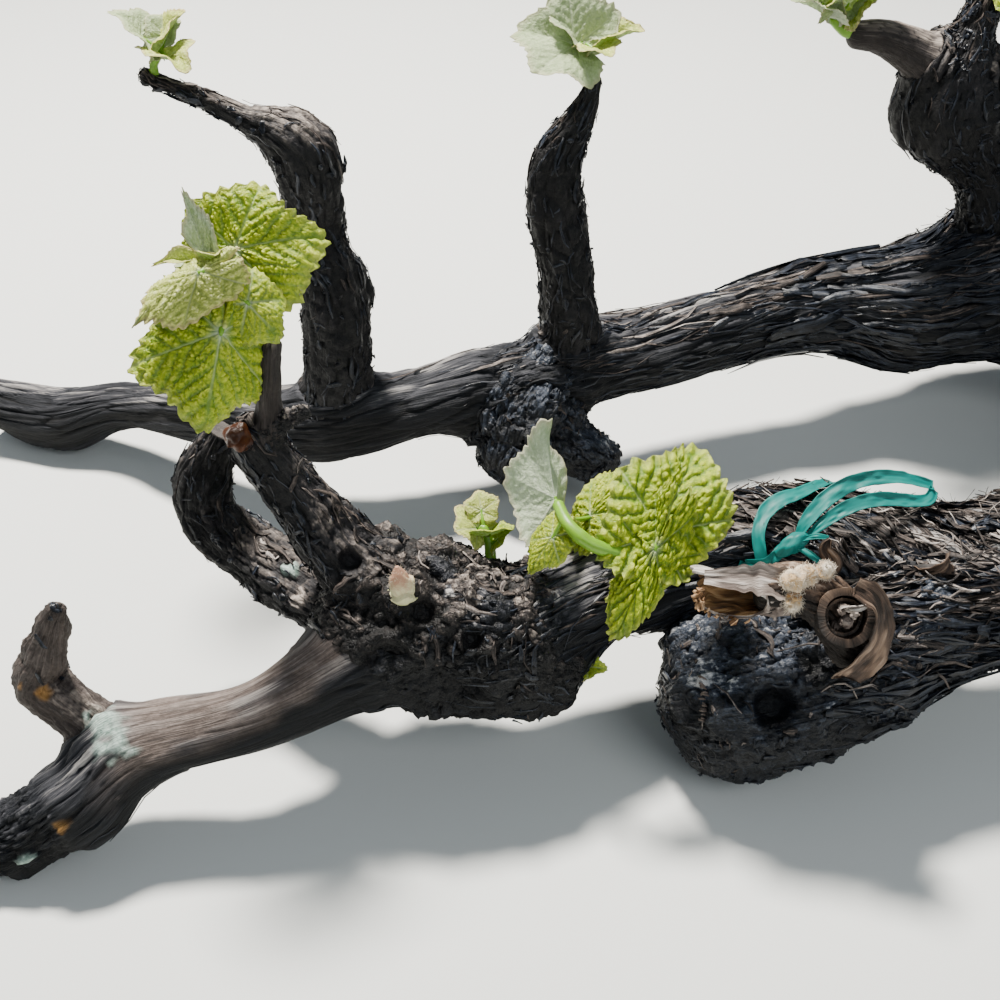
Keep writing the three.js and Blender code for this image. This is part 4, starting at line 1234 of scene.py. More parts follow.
def leafOf(base, tip, face, length, fold, curl, **more):
    # the place of its junction, the ways of its tip and face, its length, how far its two halves are
    # folded up, and how far it curls
    fold = fold if isinstance(fold, tuple) else (fold, fold)
    return dict(lookOfLeaf, base=base, tip=tip, face=face, length=length, fold=fold, curl=curl, **more)


# Each shoot has its node and a stem of places and radii, its leaves, and the number, length, seed and
# kinds of the small leaves that grow by the source's rule.
shoots = {
    "tallSpurShoot": (
        "tall_spur_shoot",
        [[-64, -46, 106, 2.5], [-66, -46, 120, 2.3], [-72, -48, 140, 2], [-74, -46, 157, 1.6]],
        [
            leafOf([-68.5, -41, 159.5], [9, -1, 3], [0, -8, 7], 22, (8, -6), 38, width=0.88, dip=0.09,
                shorter=0.42, detail=0.44),
            leafOf(
                [-71, -60, 146], [-1.5, -6, -7], [1.5, -8, 4.5], 25, (-52, -24), 16, width=1.1, dip=0.2,
                shorter=0.2, detail=0.46,
            ),
            leafOf([-75.5, -54, 160], [-9, -4, -2], [-3, -4, 9], 20, (-46, -28), 34, width=0.6,
                kind="young", detail=0.48),
            leafOf(
                [-75, -44, 158], [-3, 2.5, 9], [3, -6, 3], 18, (56, 44), -8, width=0.27, kind="white",
                rough=0.4, detail=0.55,
            ),
            leafOf([-79, -45, 158], [-9, -1, 2], [2, -5, 7], 10, 68, 60, width=0.55, kind="young",
                rough=0.5, detail=0.5),
            leafOf([-76, -48, 151], [-7, 2, -2], [-2, -7, 6], 10, 30, 30, width=0.8, detail=0.55),
            leafOf([-64.5, -54, 151], [6, -3, -6], [1, -8, 4], 13, (-24, -16), 24, width=0.85,
                detail=0.55),
        ],
        (3, 9, 3, ("young", "downy")),
    ),
    "caneStubShoot": (
        "cane_stub_shoot",
        [
            [54, -66, 71, 1.8], [46, -64, 74, 2.1], [36, -66, 77, 2.2], [26, -67, 81.5, 2.1],
            [19.5, -63, 85, 1.9], [16.5, -54, 85.5, 1.6],
        ],
        [
            leafOf(
                [45, -62, 81.5], [4, 6, 7], [-1, -7, 7], 26.5, (22, 2), 30, width=0.76, blister=0.085,
                pucker=0.075, puff=1.0, dip=0.1, shorter=0.46, rows=0.2, detail=0.45,
            ),
            leafOf(
                [43.5, -68, 81], [-5, -6, -9], [-3, -7, 6], 30, (-34, -24), 18, width=0.36, blister=0.075,
                pucker=0.068, puff=1.0, dip=0.08, rows=0.2, detail=0.5,
            ),
            leafOf([16, -48, 83], [-2, 6, 7], [-6, 5, -6], 22, 40, 5, width=0.7, kind="downy",
                rough=0.35, detail=0.55),
            leafOf([27, -42, 72], [6, 4, 8], [-5, -5, 6], 19, (-14, 6), 25, width=0.52, rows=0.22,
                detail=0.48),
            leafOf([15, -61, 79.5], [-7, -5, -8], [-4, -6, 6], 13, -25, 25, width=0.62, detail=0.5),
        ],
        (0, 0, 0, ()),
    ),
    "frontHeadShoot": (
        "front_head_shoot", [[-3, -56, 50, 2.2], [-3, -44, 60, 1.8], [-5, -40, 66, 1.3]], [],
        (4, 10, 5, ("", "young")),
    ),
    "backLeftShoot": (
        "back_left_shoot", [[-109, 64, 164, 1.8], [-109, 64, 169, 1.5], [-106, 64, 173, 1.2]], [],
        (4, 13, 1, ("young", "downy")),
    ),
    "backMiddleShoot": (
        "back_middle_shoot", [[31, 80, 155, 2.4], [30, 80, 163, 2], [27, 79, 170, 1.5]],
        [leafOf([24, 78, 170], [-8, 1, 3], [2, -7, 7], 20, 25, 30, kind="downy", rough=0.6)],
        (4, 16, 2, ("young", "downy")),
    ),
    "backLeftCaneShoot": (
        "back_left_cane_shoot", [[128, 122, 158, 3], [121, 121, 160, 2.4], [116, 120, 164, 1.8]], [],
        (5, 17, 4, ("young", "downy")),
    ),
    "backHeadTopShoot": (
        "back_head_top_shoot", [[171, 125, 168, 2.6], [173, 125, 175, 2.1], [174, 124, 182, 1.5]],
        [leafOf([177, 124, 182], [8, 0, 3], [-1, -7, 7], 20, 15, 25)], (3, 15, 6, ("young", "downy")),
    ),
    # a tuft of opening leaves beneath the arm
    "lowTuft": (
        "front_arm", [[27, -62, 36, 1.2], [26, -66, 34, 1.1], [24, -69, 34, 0.8]],
        [
            leafOf([25, -68, 34.5], [-7, -4, -2], [-1, -6, 7], 5, 30, 30, kind="young"),
            leafOf([26, -68, 35], [6, -4, 3], [1, -6, 7], 6, 35, 30),
            leafOf([23, -68, 35], [-5, -2, 5], [-1, -7, 5], 4.5, 50, 20, kind="downy"),
        ],
        (0, 0, 0, ()),
    ),
}


def leafReach(angle, leaf, seed):
    # five blunt lobes that shorten towards the stalk's notch, with uneven teeth along the margin
    turn = np.abs(angle) / np.pi
    lobe = 0.5 + 0.5 * np.cos(angle * 360 / leaf["spacing"])
    notch = np.minimum(1, leaf["notch"] + 9 * (1 - turn))
    wander = angle / fullTurn * leaf["teeth"] + 1.2 * wave(angle * 2 + 20, angle * 0, 9, seed) + 60
    size = cellValue(np.floor(wander), angle * 0, seed + 1)
    part = wander - np.floor(wander)
    tooth = np.minimum(part / 0.62, (1 - part) / 0.38)
    uneven = leaf["uneven"] * (wave(angle / fullTurn * 5 + 9.5, angle * 0, 9, seed + 6) - 0.5)
    reach = (1 - leaf["shorter"] * turn * turn) * (1 - leaf["dip"] * (1 - lobe)) * (1 + uneven) * notch
    return reach * (1 + leaf["toothDepth"] * (0.3 + 0.9 * size) * (tooth - 0.5))


def leafParts(leaf, seed):
    # A palmate blade: polar grid, five main veins from the stalk, side veins at a set angle off each,
    # and between them the blade bulges in rows of cells. Then it is folded, curled and placed, as the
    # source does.
    length = leaf["length"]
    rows = max(12, round(length / leaf["detail"]))
    cols = max(72, 4 * round(3.9 * length / leaf["detail"] / 4))
    angle = -np.pi + fullTurn * (np.arange(cols) + 0.5) / cols
    share = np.linspace(0, 1, rows + 1)[1:] ** 0.85
    t, phi = np.meshgrid(share, angle, indexing="ij")
    r = t * leafReach(phi, leaf, seed) * length
    x, y = r * np.cos(phi), r * np.sin(phi)
    spacing = math.radians(leaf["spacing"])
    sector = np.clip(np.round(phi / spacing), -2, 2)
    off = phi - sector * spacing
    u, v = r * np.cos(off), r * np.sin(off)
    main = np.abs(v)
    slope = math.radians(leaf["sideAngle"])
    side = leaf["rows"] * length * (1 + 0.08 * sector)
    warp = wave(x / (0.16 * length) + 50, y / (0.16 * length) + 50, 1000, seed + 5) - 0.5
    q = (u - main / math.tan(slope) * (1 - 0.12 * main / length)) / side + 0.5 * (v > 0) + 0.5 * warp
    between = q - np.floor(q)
    vein = np.minimum(between, 1 - between) * side * math.sin(slope)
    size = leaf["blister"] * length + 0.25
    push = wave(x / (1.7 * size) + 70, y / (1.7 * size) + 70, 9000, seed + 4) - 0.5
    shove = wave(x / (1.7 * size) + 40, y / (1.7 * size) + 90, 9000, seed + 9) - 0.5
    pushed = (x / size + 90 + 0.7 * push, y / size + 400 + 0.7 * shove)
    nearest, second, value, _ = cells(*pushed, 9000, seed + 1)
    dome = np.sqrt(np.clip(1 - nearest**2, 0, 1))
    blister = dome * soft(0.0, leaf["puff"], second - nearest) * (0.6 + 0.6 * value)
    ridge = np.sin(np.pi * between)
    swell = 0.5 * ridge + 0.58 * blister * (0.4 + 0.6 * ridge**0.5)
    swell = swell * (1 - np.exp(-((main / (0.016 * length + 0.1)) ** 2)))
    edge = soft(0.8, 1.0, t)
    chance = np.random.default_rng(seed)
    lobeDroop = chance.uniform(-1, 0.45, 5)[(sector + 2).astype(int)] * np.cos(off / spacing * np.pi) ** 2
    waves = wave(t * 1.5 + 3, phi / fullTurn * 9 + 9, 9, seed + 3)
    z = length * leaf["pucker"] * swell * leaf["rough"]
    z += length * leaf["arch"] * np.cos(off / spacing * fullTurn + np.pi) * t**1.5
    z += length * leaf["ruffle"] * t**2.5 * 2 * (waves - 0.5)
    z += length * leaf["droop"] * lobeDroop * t**2
    z -= length * 0.05 * soft(0.7, 1.0, t) ** 2
    y = y * leaf["width"]
    left, right = leaf["fold"]
    lift = np.radians(right + (left - right) * soft(-1.5, 1.5, y))
    bend = math.radians(leaf["curl"]) / length
    away = np.sqrt(y * y + 1) - 1
    core, forward, upward = vector(leaf["base"]), unit(vector(leaf["tip"])), vector(leaf["face"])
    upward = unit(upward - forward * (upward @ forward))
    sideways = np.cross(upward, forward)
    place = core + forward * x[..., None] + sideways * (y * np.cos(lift))[..., None]
    raised = away * np.sin(lift) - bend * x * np.abs(x) / 2 + z * np.cos(lift)
    place = place + upward * raised[..., None]
    place = place - sideways * (z * np.sin(lift) * np.sign(y) * soft(0, 2, np.abs(y)))[..., None]
    thick = leaf["thick"]
    half = -gridNormals(place) * (thick / 2 * (1 - 0.6 * edge)[..., None])
    count, rim = rows * cols, (rows - 1) * cols
    j = np.arange(cols)
    k = (j + 1) % cols
    poles = np.full(cols, 2 * count)
    rimQuads = np.stack([rim + j, count + rim + j, count + rim + k, rim + k], -1)
    quads = np.vstack([gridFaces(rows, cols, flip=True), gridFaces(rows, cols) + count, rimQuads])
    tris = np.vstack([np.stack([poles, j, k], -1), np.stack([poles + 1, count + k, count + j], -1)])
    flat = np.stack([x / length * 0.24 + 0.24, y / length * 0.24 + 0.25], -1).reshape(-1, 2)
    flat = np.vstack([flat, flat + [0.5, 0.5], [[0.24, 0.25], [0.74, 0.75]]])
    thin = np.exp(-((vein / 0.24) ** 2)) * soft(0.3, 1.5, main)
    veins = np.clip(np.exp(-((main / (0.16 + 0.18 * (1 - t))) ** 2)) + 0.35 * thin, 0, 1)
    stalk = np.exp(-((main / 0.4) ** 2)) * np.exp(-r / (0.25 * length))
    wool = 0.6 * np.exp(-((r / (0.09 * length)) ** 2)) + 0.45 * stalk
    if leaf["kind"] == "downy":
        wool = np.maximum(wool, 0.25)
    upper, lower = {"downy": (1, 2), "white": (2, 2), "young": (3, 1)}.get(leaf["kind"], (0, 1))
    values = dict(relief=np.clip(swell, 0, 1), vein=veins, wool=wool, margin=edge)
    # both sides of the blade and its two poles take the same values
    values = {key: np.concatenate([a.ravel(), a.ravel(), a.ravel()[[0, 0]]]) for key, a in values.items()}
    pole = upward * thick / 2
    top, under = (place + half).reshape(-1, 3), (place - half).reshape(-1, 3)
    return dict(
        values, points=np.vstack([top, under, core + pole, core - pole]), quads=quads, tris=tris,
        quadCorners=flat[quads], triCorners=flat[tris],
        quadPick=np.repeat([upper, lower, upper], [count - cols, count - cols, cols]),
        triPick=np.repeat([upper, lower], cols),
    )


def chanceFor(index, seed):
    # the source's repeatable number from 0 to 1
    value = math.sin(index * 12.9898 + seed * 78.233) * 43758.5453
    return value - math.floor(value)


def smallLeaves(stem, count, size, seed, kinds):
    # the source's rule: leaves on the upper half of the stem, one golden angle apart, looking up
    line = smoothLine(stem, 2)[0]
    ranges = ((0, 60), (10, 65), (0.6, 1), (10, 40), (10, 40))
    leaves = []
    for k in range(count):
        twist, rise, share, fold, curl = (
            low + (high - low) * chanceFor(k + 20 * draw, seed) for draw, (low, high) in enumerate(ranges)
        )
        turn, rise = math.radians(137.5 * k + twist), math.radians(rise)
        start = line[round((0.5 + 0.5 * (k + 1) / count) * (len(line) - 1)), :3]
        tip = np.array([math.cos(turn) * math.cos(rise), math.sin(turn) * math.cos(rise), math.sin(rise)])
        length = size * share
        base = start + tip * (2 + 0.45 * length)
        leaves.append(leafOf(base, tip, [0, 0, 1], length, fold, curl, kind=kinds[k % 2]))
    return leaves


def stalkLine(stem, leaf):
    # leaves the stem at its nearest place and bends round to meet the blade's base from behind
    line = smoothLine(stem, 3)[0][:, :3]
    base, way = vector(leaf["base"]), unit(vector(leaf["tip"]))
    start = line[np.argmin(farFrom(line, base))]
    middle = (start + base) / 2 - way * 0.18 * np.linalg.norm(base - start) + np.array([0, 0, 0.6])
    thick = 0.5 + 0.018 * leaf["length"]
    places = ((start, 1.1), (middle, 0.9), (base - way * 0.8, 0.8), (base + way * 0.6, 0.5))
    return smoothLine([[*place, thick * share] for place, share in places], 0.5)[0]


stalkLook = dict(around=14, step=0.7, node=14, ridge=0.05)


def stalkPart(line):
    # a five-ridged tube with a rounded end
    way, radius = unit(line[-1, :3] - line[-2, :3]), line[-1, 3]
    line = np.vstack([line, line[-1] + [*(way * radius * 0.6), -radius * 0.6]])
    around = stalkLook["around"]
    ridges = 1 + stalkLook["ridge"] * np.cos(5 * fullTurn * np.arange(around) / around)
    return closedTube(scaled(line, tubePoints(line, around), ridges[None]))


def growShoot(name, node, places, leaves, small, seed):
    leaves, many = list(leaves), len(leaves) > 3
    for leaf in smallLeaves(places, *small):
        reachOut = leaf["base"] + leaf["tip"] * leaf["length"] * np.linspace(0, 1, 5)[:, None]
        if min(lineDistance(reachOut, line)[0].min() for line in coarse.values()) > 0:
            leaves.append(leaf)
    parts = [leafParts(leaf, seed + 10 * i) for i, leaf in enumerate(leaves)]
    # the large leaves and the others are two pieces where there are many
    if many:
        joinParts(name + "LargeLeaves", parts[:2], leafLooks, node, "leaf")
        parts = parts[2:]
    joinParts(name + "Leaves", parts, leafLooks, node, "leaf")
    stem = smoothLine(places, stalkLook["step"])[0]
    run = np.arange(len(stem)) * stalkLook["step"]
    stem[:, 3] *= 1 + 0.12 * np.exp(-(((run % stalkLook["node"]) - 7) ** 2) / 2) - 0.05
    lines = [stem] + [stalkLine(places, leaf) for leaf in leaves]
    joinParts(name + "Stems", [stalkPart(line) for line in lines], [greenStem], node, "leaf")


for number, (name, shoot) in enumerate(shoots.items()):
    growShoot(name, *shoot, 300 + 50 * number)
print("shoots grown")


# The cane stub, hollow and peeling, with its woolly buds

lookOfStub = {
    "mouth": dict(
        start=[80, -77, 73], stop=[55, -76, 72], radius=6.8, flare=1.4, wall=0.8, depth=21, rough=1.0,
        flutes=0.6, ragged=5.0, flap=2, bite=17, zone=23, scallop=0.5,
    ),
    "ring": dict(
        start=[94, -79, 66], stop=[93.4, -89.5, 75], radius=7.4, flare=1.0, wall=2.2, depth=10, rough=1.8,
        flutes=0.12, ragged=2.4, flap=0, bite=0, zone=9, scallop=0.12,
    ),
    "inner": dict(
        start=[94, -80, 67], stop=[92.8, -89, 74.4], radius=4.6, flare=0.8, wall=0.9, depth=7, rough=1.3,
        flutes=0.15, ragged=2.2, flap=0, bite=2, zone=7, scallop=0.15,
    ),
}
stubGrid = dict(around=132, outward=44, inward=34, floor=[0.85, 0.6, 0.4, 0.2, 0.05])


def hollowTube(look, seed):
    # A skin out to a torn mouth, back down its inside and closed across its floor, as one grid of rings.
    start, stop = vector(look["start"]), vector(look["stop"])
    axis = unit(stop - start)
    long = np.linalg.norm(stop - start)
    around, outer, inner, floor = stubGrid.values()
    angle = fullTurn * np.arange(around) / around
    bottom = long - look["depth"]
    out, back = np.linspace(0, long, outer), np.linspace(long, bottom, inner)
    far = np.concatenate([out, back, np.full(len(floor), bottom)])
    fullness = np.concatenate([np.ones(outer + inner), floor])
    inside = np.arange(len(far)) >= outer
    mouth = soft(long - 9, long, far)
    torn = np.clip((far - long + look["zone"]) / look["zone"], 0, 1)
    radius = look["radius"] * (0.94 + 0.06 * np.sin(far / 5)) + look["flare"] * mouth**2
    radius = (radius - look["wall"] * inside) * fullness
    reference = unit(np.cross(np.cross(axis, [0.05, -0.3, 1]), axis))
    other = np.cross(axis, reference)
    run, turn = np.meshgrid(far, angle, indexing="ij")

    def waves(values, length, count, seed):
        # noise that closes round the tube
        return wave(values / length, turn / fullTurn * count, count, seed) - 0.5

    shift = look["scallop"] * torn[:, None] * waves(run, 2.6, 9, seed + 6)
    spokes = np.cos(turn + shift)[..., None] * reference + np.sin(turn + shift)[..., None] * other
    lumps, fine = waves(run, 6, 7, seed), waves(run, 3, 34, seed + 1)
    teeth = wave(angle * 0 + 7.7, angle / fullTurn * 27, 27, seed + 3) - 0.5
    rim = look["ragged"] * (wave(angle * 0 + 3.3, angle / fullTurn * 9, 9, seed + 2) - 0.6)
    rim = rim + look["flutes"] * look["ragged"] * teeth
    rim = rim + look["flap"] * np.exp(-((((angle + 0.6) % fullTurn) - 1.1) ** 2) / 0.5)
    front = (angle + 1.3 + np.pi) % fullTurn - np.pi
    rim = rim - look["bite"] * np.exp(-(np.abs(front / 1.15) ** 2.6))
    bumps = look["rough"] * (0.9 * lumps + look["flutes"] * fine)
    reach = radius[:, None] + bumps * fullness[:, None] * (1 - 0.5 * inside[:, None])
    middle = (start + axis * far[:, None])[:, None]
    points = middle + spokes * reach[..., None] + axis * (rim[None] * torn[:, None])[..., None]
    grain = np.stack([run, look["radius"] * np.cos(turn), look["radius"] * np.sin(turn)], -1) * metre
    # outside, the upper side is lighter, partly weathering and partly painted light from above
    weather = soft(-0.2, 0.9, spokes[..., 2]) * (1 - inside)[:, None] + 0.45 * inside[:, None]
    relief = np.clip(0.5 + 1.6 * look["flutes"] * fine + 0.4 * lumps, 0, 1)
    pick = (inside[:-1] & inside[1:]).astype(int)
    return closedTube(points, pickLast=1, pickBody=pick, relief=relief, weather=weather, grain=grain)


mouth, ring, inner = (hollowTube(look, seed) for look, seed in zip(lookOfStub.values(), (5, 8, 9)))
skins = [barks[name] for name in ("palePaper", "paperInside", "caneBark", "ringInside")]
joinParts("peelingCane", [mouth], skins[:2], "front_cane_stub", "cane", 60)
joinParts("deadSpurRing", [ring, inner], skins[2:], "front_cane_stub", "cane", 60)

# Each strip has its places, the ways out there and its widths; a peel also has its ragged edge, its
# bark, and the node that it belongs to.
peels = {
    "ringSplinter": (
        [[92, -86, 76], [94, -90, 78.5], [97.5, -91, 80.5]],
        [[0.6, -1, 0.2], [0.2, -1, 0.4], [0.7, -1, 0.1]], [1.6, 2.2, 1], 0.8, "palePaper",
        "front_cane_stub",
    ),
    "armFlake": (
        [[121.5, -58, 63], [125, -61, 65.5], [128.5, -61, 68.5], [129.5, -58, 70.5]],
        [[0.2, -1, 0.6], [0.1, -1, 0.3], [0.3, -1, 0], [0.5, -1, -0.5]],
        [4, 6.5, 6.5, 4], 0.6, "curlBark", "front_arm",
    ),
    "rightCurl": (
        [[95, -87, 83.5], [101, -88.5, 79], [103, -90, 70], [100.5, -91, 61], [96, -90, 53]],
        [[0.2, -0.6, 1], [0.9, -0.6, 0.6], [0.8, -1, 0.1], [0.4, -1, 0], [0.2, -1, -0.1]],
        [6, 9, 9.5, 11.5, 11], 0.4, "curlBark", "front_cane_stub",
    ),
    "topFlap": (
        [[56, -78, 79], [63, -79.5, 80], [71, -80, 80], [78, -80.5, 78.6], [84, -80, 77]],
        [[0, -0.6, 0.8], [0, -0.65, 0.75], [0, -0.65, 0.75], [0, -0.7, 0.7], [0, -0.8, 0.6]],
        [4, 6.5, 8, 8.5, 6], 0.7, "palePaper", "front_cane_stub",
    ),
    "backFlap": (
        [[91, -76, 78], [91.5, -75, 82], [89, -74, 86], [90, -73, 88.5]],
        [[0.2, -1, 0.4], [0, -1, 0.5], [-0.3, -1, 0.6], [0.2, -1, 0.6]],
        [3.5, 5, 4, 1.5], 1.0, "caneBark", "front_cane_stub",
    ),
}
creases = {"topFlap": 0.45}  # the others take the look's
peelLook = dict(crease=0.8, across=22, step=0.5, cup=0.14, thick=0.35, folded=3.0)


def ribbonGrid(places, out, width, seed, ragged, crease, across, step, cup, thick, folded, narrow=1):
    # A sheet carried along its places, square to the ways out given there: its edges curl by the cup, and
    # slow waves crease it. Both faces are one closed ring of points, so it has no open edge.
    line, run = smoothLine(np.concatenate([places, out, np.array(width)[:, None]], 1), step)
    middle, out, width = line[:, :3], unit(line[:, 3:6]), line[:, 6] * narrow
    along = unit(np.gradient(middle, axis=0))
    out = unit(out - along * np.sum(out * along, 1)[:, None])[:, None]
    v = np.linspace(1, -1, across)
    far, fold = np.meshgrid(run, (v + 1) * folded, indexing="ij")
    folds = wave(far / 7, fold, 1000, seed) + 0.6 * wave(far / 2.6, fold * 2.2, 1000, seed + 1) - 0.8
    rise = cup * width[:, None] * v[None] ** 2 + crease * folds
    edge = 1 + ragged * (wave(run / 2.1, run * 0 + 0.5, 9, seed + 2) - 0.5)
    half = (v[None] * (width * edge)[:, None] / 2)[..., None]
    sheet = middle[:, None] + np.cross(out[:, 0], along)[:, None] * half + out * rise[..., None]
    grain = np.stack([far, v[None] * 4 + 0 * far, folds], -1) * metre
    sides = ((sheet, sheet - out * thick), (np.clip(0.5 + folds, 0, 1),) * 2, (grain, grain))
    return [np.concatenate([upper, lower[:, ::-1]], 1) for upper, lower in sides]


for number, (name, (places, out, width, ragged, bark, node)) in enumerate(peels.items()):
    look = dict(peelLook, ragged=ragged, crease=creases.get(name, peelLook["crease"]))
    points, relief, grain = ribbonGrid(places, out, width, 60 + number, **look)
    part = closedTube(points, relief=relief, grain=grain, weather=0 * relief + 0.5)
    joinParts(name, [part], [barks[bark]], node, "bark" if node == "front_arm" else "cane", 60)

# torn bits of skin along the mouth's lower lip: the line they stand on, their number and their size
lip = dict(
    places=[[55, -79, 75], [55.5, -81, 70.5], [60, -81.5, 67], [70, -82, 66]], count=30, long=(1.0, 3.0),
    wide=(1.4, 3.6),
)


def lipBits(seed):
    # each bit leaves the line outwards and curls back with the square of the way along it
    chance = np.random.default_rng(seed)
    line, run = smoothLine([[*place, 0] for place in lip["places"]], 0.5)
    count = lip["count"]
    share = chance.uniform(0, 1, count) ** 1.9
    root = np.stack([np.interp(share * run[-1], run, line[:, k]) for k in range(3)], -1)
    way = [chance.normal(-0.5, 0.6, count), -np.ones(count), chance.normal(-0.5, 0.7, count)]
    back = [chance.normal(*bounds, count) for bounds in ((0, 0.6), (0.3, 0.5), (0.4, 0.8))]
    way, back = unit(np.stack(way, -1)), unit(np.stack(back, -1))
    t = np.linspace(0, 1, 7)[None, :, None]
    long = chance.uniform(*lip["long"], (count, 1, 1))
    middle = (root - way * 0.8)[:, None] + long * (t * way[:, None] + 0.6 * t**2 * back[:, None])
    out = np.repeat(unit(back + 0.2)[:, None], 7, 1)
    wide = chance.uniform(*lip["wide"], (count, 1)) * (1 - 0.5 * t[..., 0] ** 3)
    wide = wide * chance.uniform(0.7, 1.2, (count, 7))
    points, quads, each = strips(middle, out, wide, 0.25, 0.25 * wide)
    pick = (share > 0.55) * (chance.uniform(0, 1, count) > 0.5)
    addPiece(
        "lipBits", points, [quads], [lipTan, shreds[3]], "front_cane_stub", "cane",
        pick=[np.repeat(pick, each)], grain=stripGrain(t * long, wide, share[:, None, None] * 90),
    )


lipBits(77)

# pale chunks of rotten wood inside the ring: middle and radius
chunks = [
    [91.5, -87, 70, 1.4], [93.8, -88.5, 72.4, 1.7], [95.6, -88, 75, 1.3], [92.2, -88, 75.6, 1.1],
    [95, -87.5, 70.4, 1.2], [93.4, -89, 77.6, 0.9],
]
# each bud's place, way, length and radius, and whether its wool is tan
woolBuds = [
    ([80, -81, 80], [-0.3, -0.7, 1], 8, 3.3, 0), ([83.4, -79.5, 80.5], [0.3, -0.4, 1], 7, 2.9, 0),
    ([79.8, -83.5, 76], [-0.1, -0.6, -1], 6.5, 2.4, 1), ([88.4, -79, 82.2], [0.3, -0.4, 1], 4.6, 2.1, 1),
]
# brown buds: one on the tall spur beside the shoot, one on the arm
brownBuds = {
    "spurBud": ([-71, -57, 111], [-0.3, -0.5, 0.8], 7.5, 3.7, "front_tall_spur"),
    "armBud": ([30.5, -48, 66], [0.1, -0.3, 1], 9, 2.6, "front_arm"),
}
budGrid = dict(rows=26, around=32)


def budPoints(place, way, long, radius, seed):
    # a lumpy egg: its radius is the sine of the way along it, with soft lumps
    rows, around = budGrid.values()
    t = np.linspace(0.02, 0.98, rows)
    profile = np.sin(np.pi * t**0.8) ** 0.75
    middle = np.array(place) + unit(vector(way)) * ((t - 0.4) * long)[:, None]
    line = np.concatenate([middle, (radius * profile)[:, None]], 1)
    run, turn = np.meshgrid(t * 9, np.arange(around) / around * 8, indexing="ij")
    return scaled(line, tubePoints(line, around), 1 + 0.8 * (wave(run, turn, 8, seed) - 0.5))


def budPart(grid, tan=0):
    rise = np.linspace(0, 1, len(grid))[:, None] + np.zeros(grid.shape[:2])
    return closedTube(grid, tan, tan, tan, rise=rise)


def addHairs(name, grids, count, length, seed, node, width=0.09):
    # fine curved hairs that stand off each grid's surface
    points, quads, start = [], [], 0
    for number, surface in enumerate(grids):
        chance = np.random.default_rng(seed + number)
        rows, cols = surface.shape[:2]
        row = chance.uniform(0.04, 0.96, (count, 1)) * (rows - 1)
        col = chance.uniform(0, cols, (count, 1))
        root = sample(surface, row, col)
        out = unit(sample(gridNormals(surface), row, col))
        lean = chance.normal(0, 0.8, (count, 1, 3))
        t = np.linspace(0, 1, 3)[None, :, None]
        reach = length * chance.uniform(0.4, 1, (count, 1, 1))
        middle = root + reach * (t * unit(out + 0.4 * lean) + 0.6 * t**2 * lean * 0.6) - out * 0.1
        thin = np.repeat(width * (1 - 0.8 * t[..., 0]), count, 0)
        outs = unit(np.repeat(out, 3, 1) + 0.3 * chance.normal(0, 1, (count, 1, 3)))
        hairs, faces, _ = strips(middle, outs, thin, width * 0.6, thin * 0)
        points.append(hairs)
        quads.append(faces + start)
        start += len(hairs)
    addPiece(name, np.vstack(points), [np.vstack(quads)], [budWool], node, "bud")


chunkParts = []
for number, (x, y, z, radius) in enumerate(chunks):
    way = [math.cos(number * 2.4), -0.5, math.sin(number * 2.4)]
    grid = budPoints([x, y, z], way, 2.6 * radius, radius, 50 + number)
    tone = np.full(grid.shape[:2], 0.1 + 0.2 * (number % 3))
    cork, grain = 0 * tone + 0.6, grid * metre
    chunkParts.append(closedTube(grid, relief=tone, weather=tone, cork=cork, grain=grain))
joinParts("ringChunks", chunkParts, [barks["palePaper"]], "front_cane_stub", "cane", 40)

grids = [budPoints(*bud[:4], 70 + number) for number, bud in enumerate(woolBuds)]
parts = [budPart(grid, bud[4]) for grid, bud in zip(grids, woolBuds)]
joinParts("caneBuds", parts, [woolBud, tanBud], "front_cane_stub", "bud")
addHairs("caneBudWool", grids, 600, 1.3, 80, "front_cane_stub", 0.16)

headBud = dict(
    places=[[-26, -68, 64, 3.5], [-27, -73, 70, 4.2], [-28, -74, 76, 2.5], [-28.5, -74, 79.5, 0.5]],
    step=0.35, around=40, flare=0.3,
)
line = smoothLine(headBud["places"], headBud["step"])[0]
turn = fullTurn * np.arange(headBud["around"]) / headBud["around"]
rise = np.linspace(0, 1, len(line))[:, None]
# three scales overlap up the bud: each starts narrow and flares, and its edge runs aslant
slant = 0.45 * np.cos(turn)[None] + 0.1 * np.sin(3 * turn)[None]
scales = headBud["flare"] * (((rise * 2.6 + slant) % 1) - 0.5) * np.sin(np.pi * rise) ** 0.5
grid = scaled(line, tubePoints(line, headBud["around"], upright=True), 1 + scales)
joinParts("headBud", [budPart(grid)], [openBud], "front_head_bud", "bud", 50)
addHairs("headBudWool", [grid], 320, 0.9, 90, "front_head_bud")
for number, (name, (*bud, node)) in enumerate(brownBuds.items()):
    joinParts(name, [budPart(budPoints(*bud, 95 + number))], [glossBud], node, "bud", 60)

# a healed seam on the burl: a row of short ribs across a low crest
seam = dict(start=[58.6, -80, 42.5], stop=[58.2, -88, 33.5], count=15, long=2.6, wide=0.6, stand=1.1)


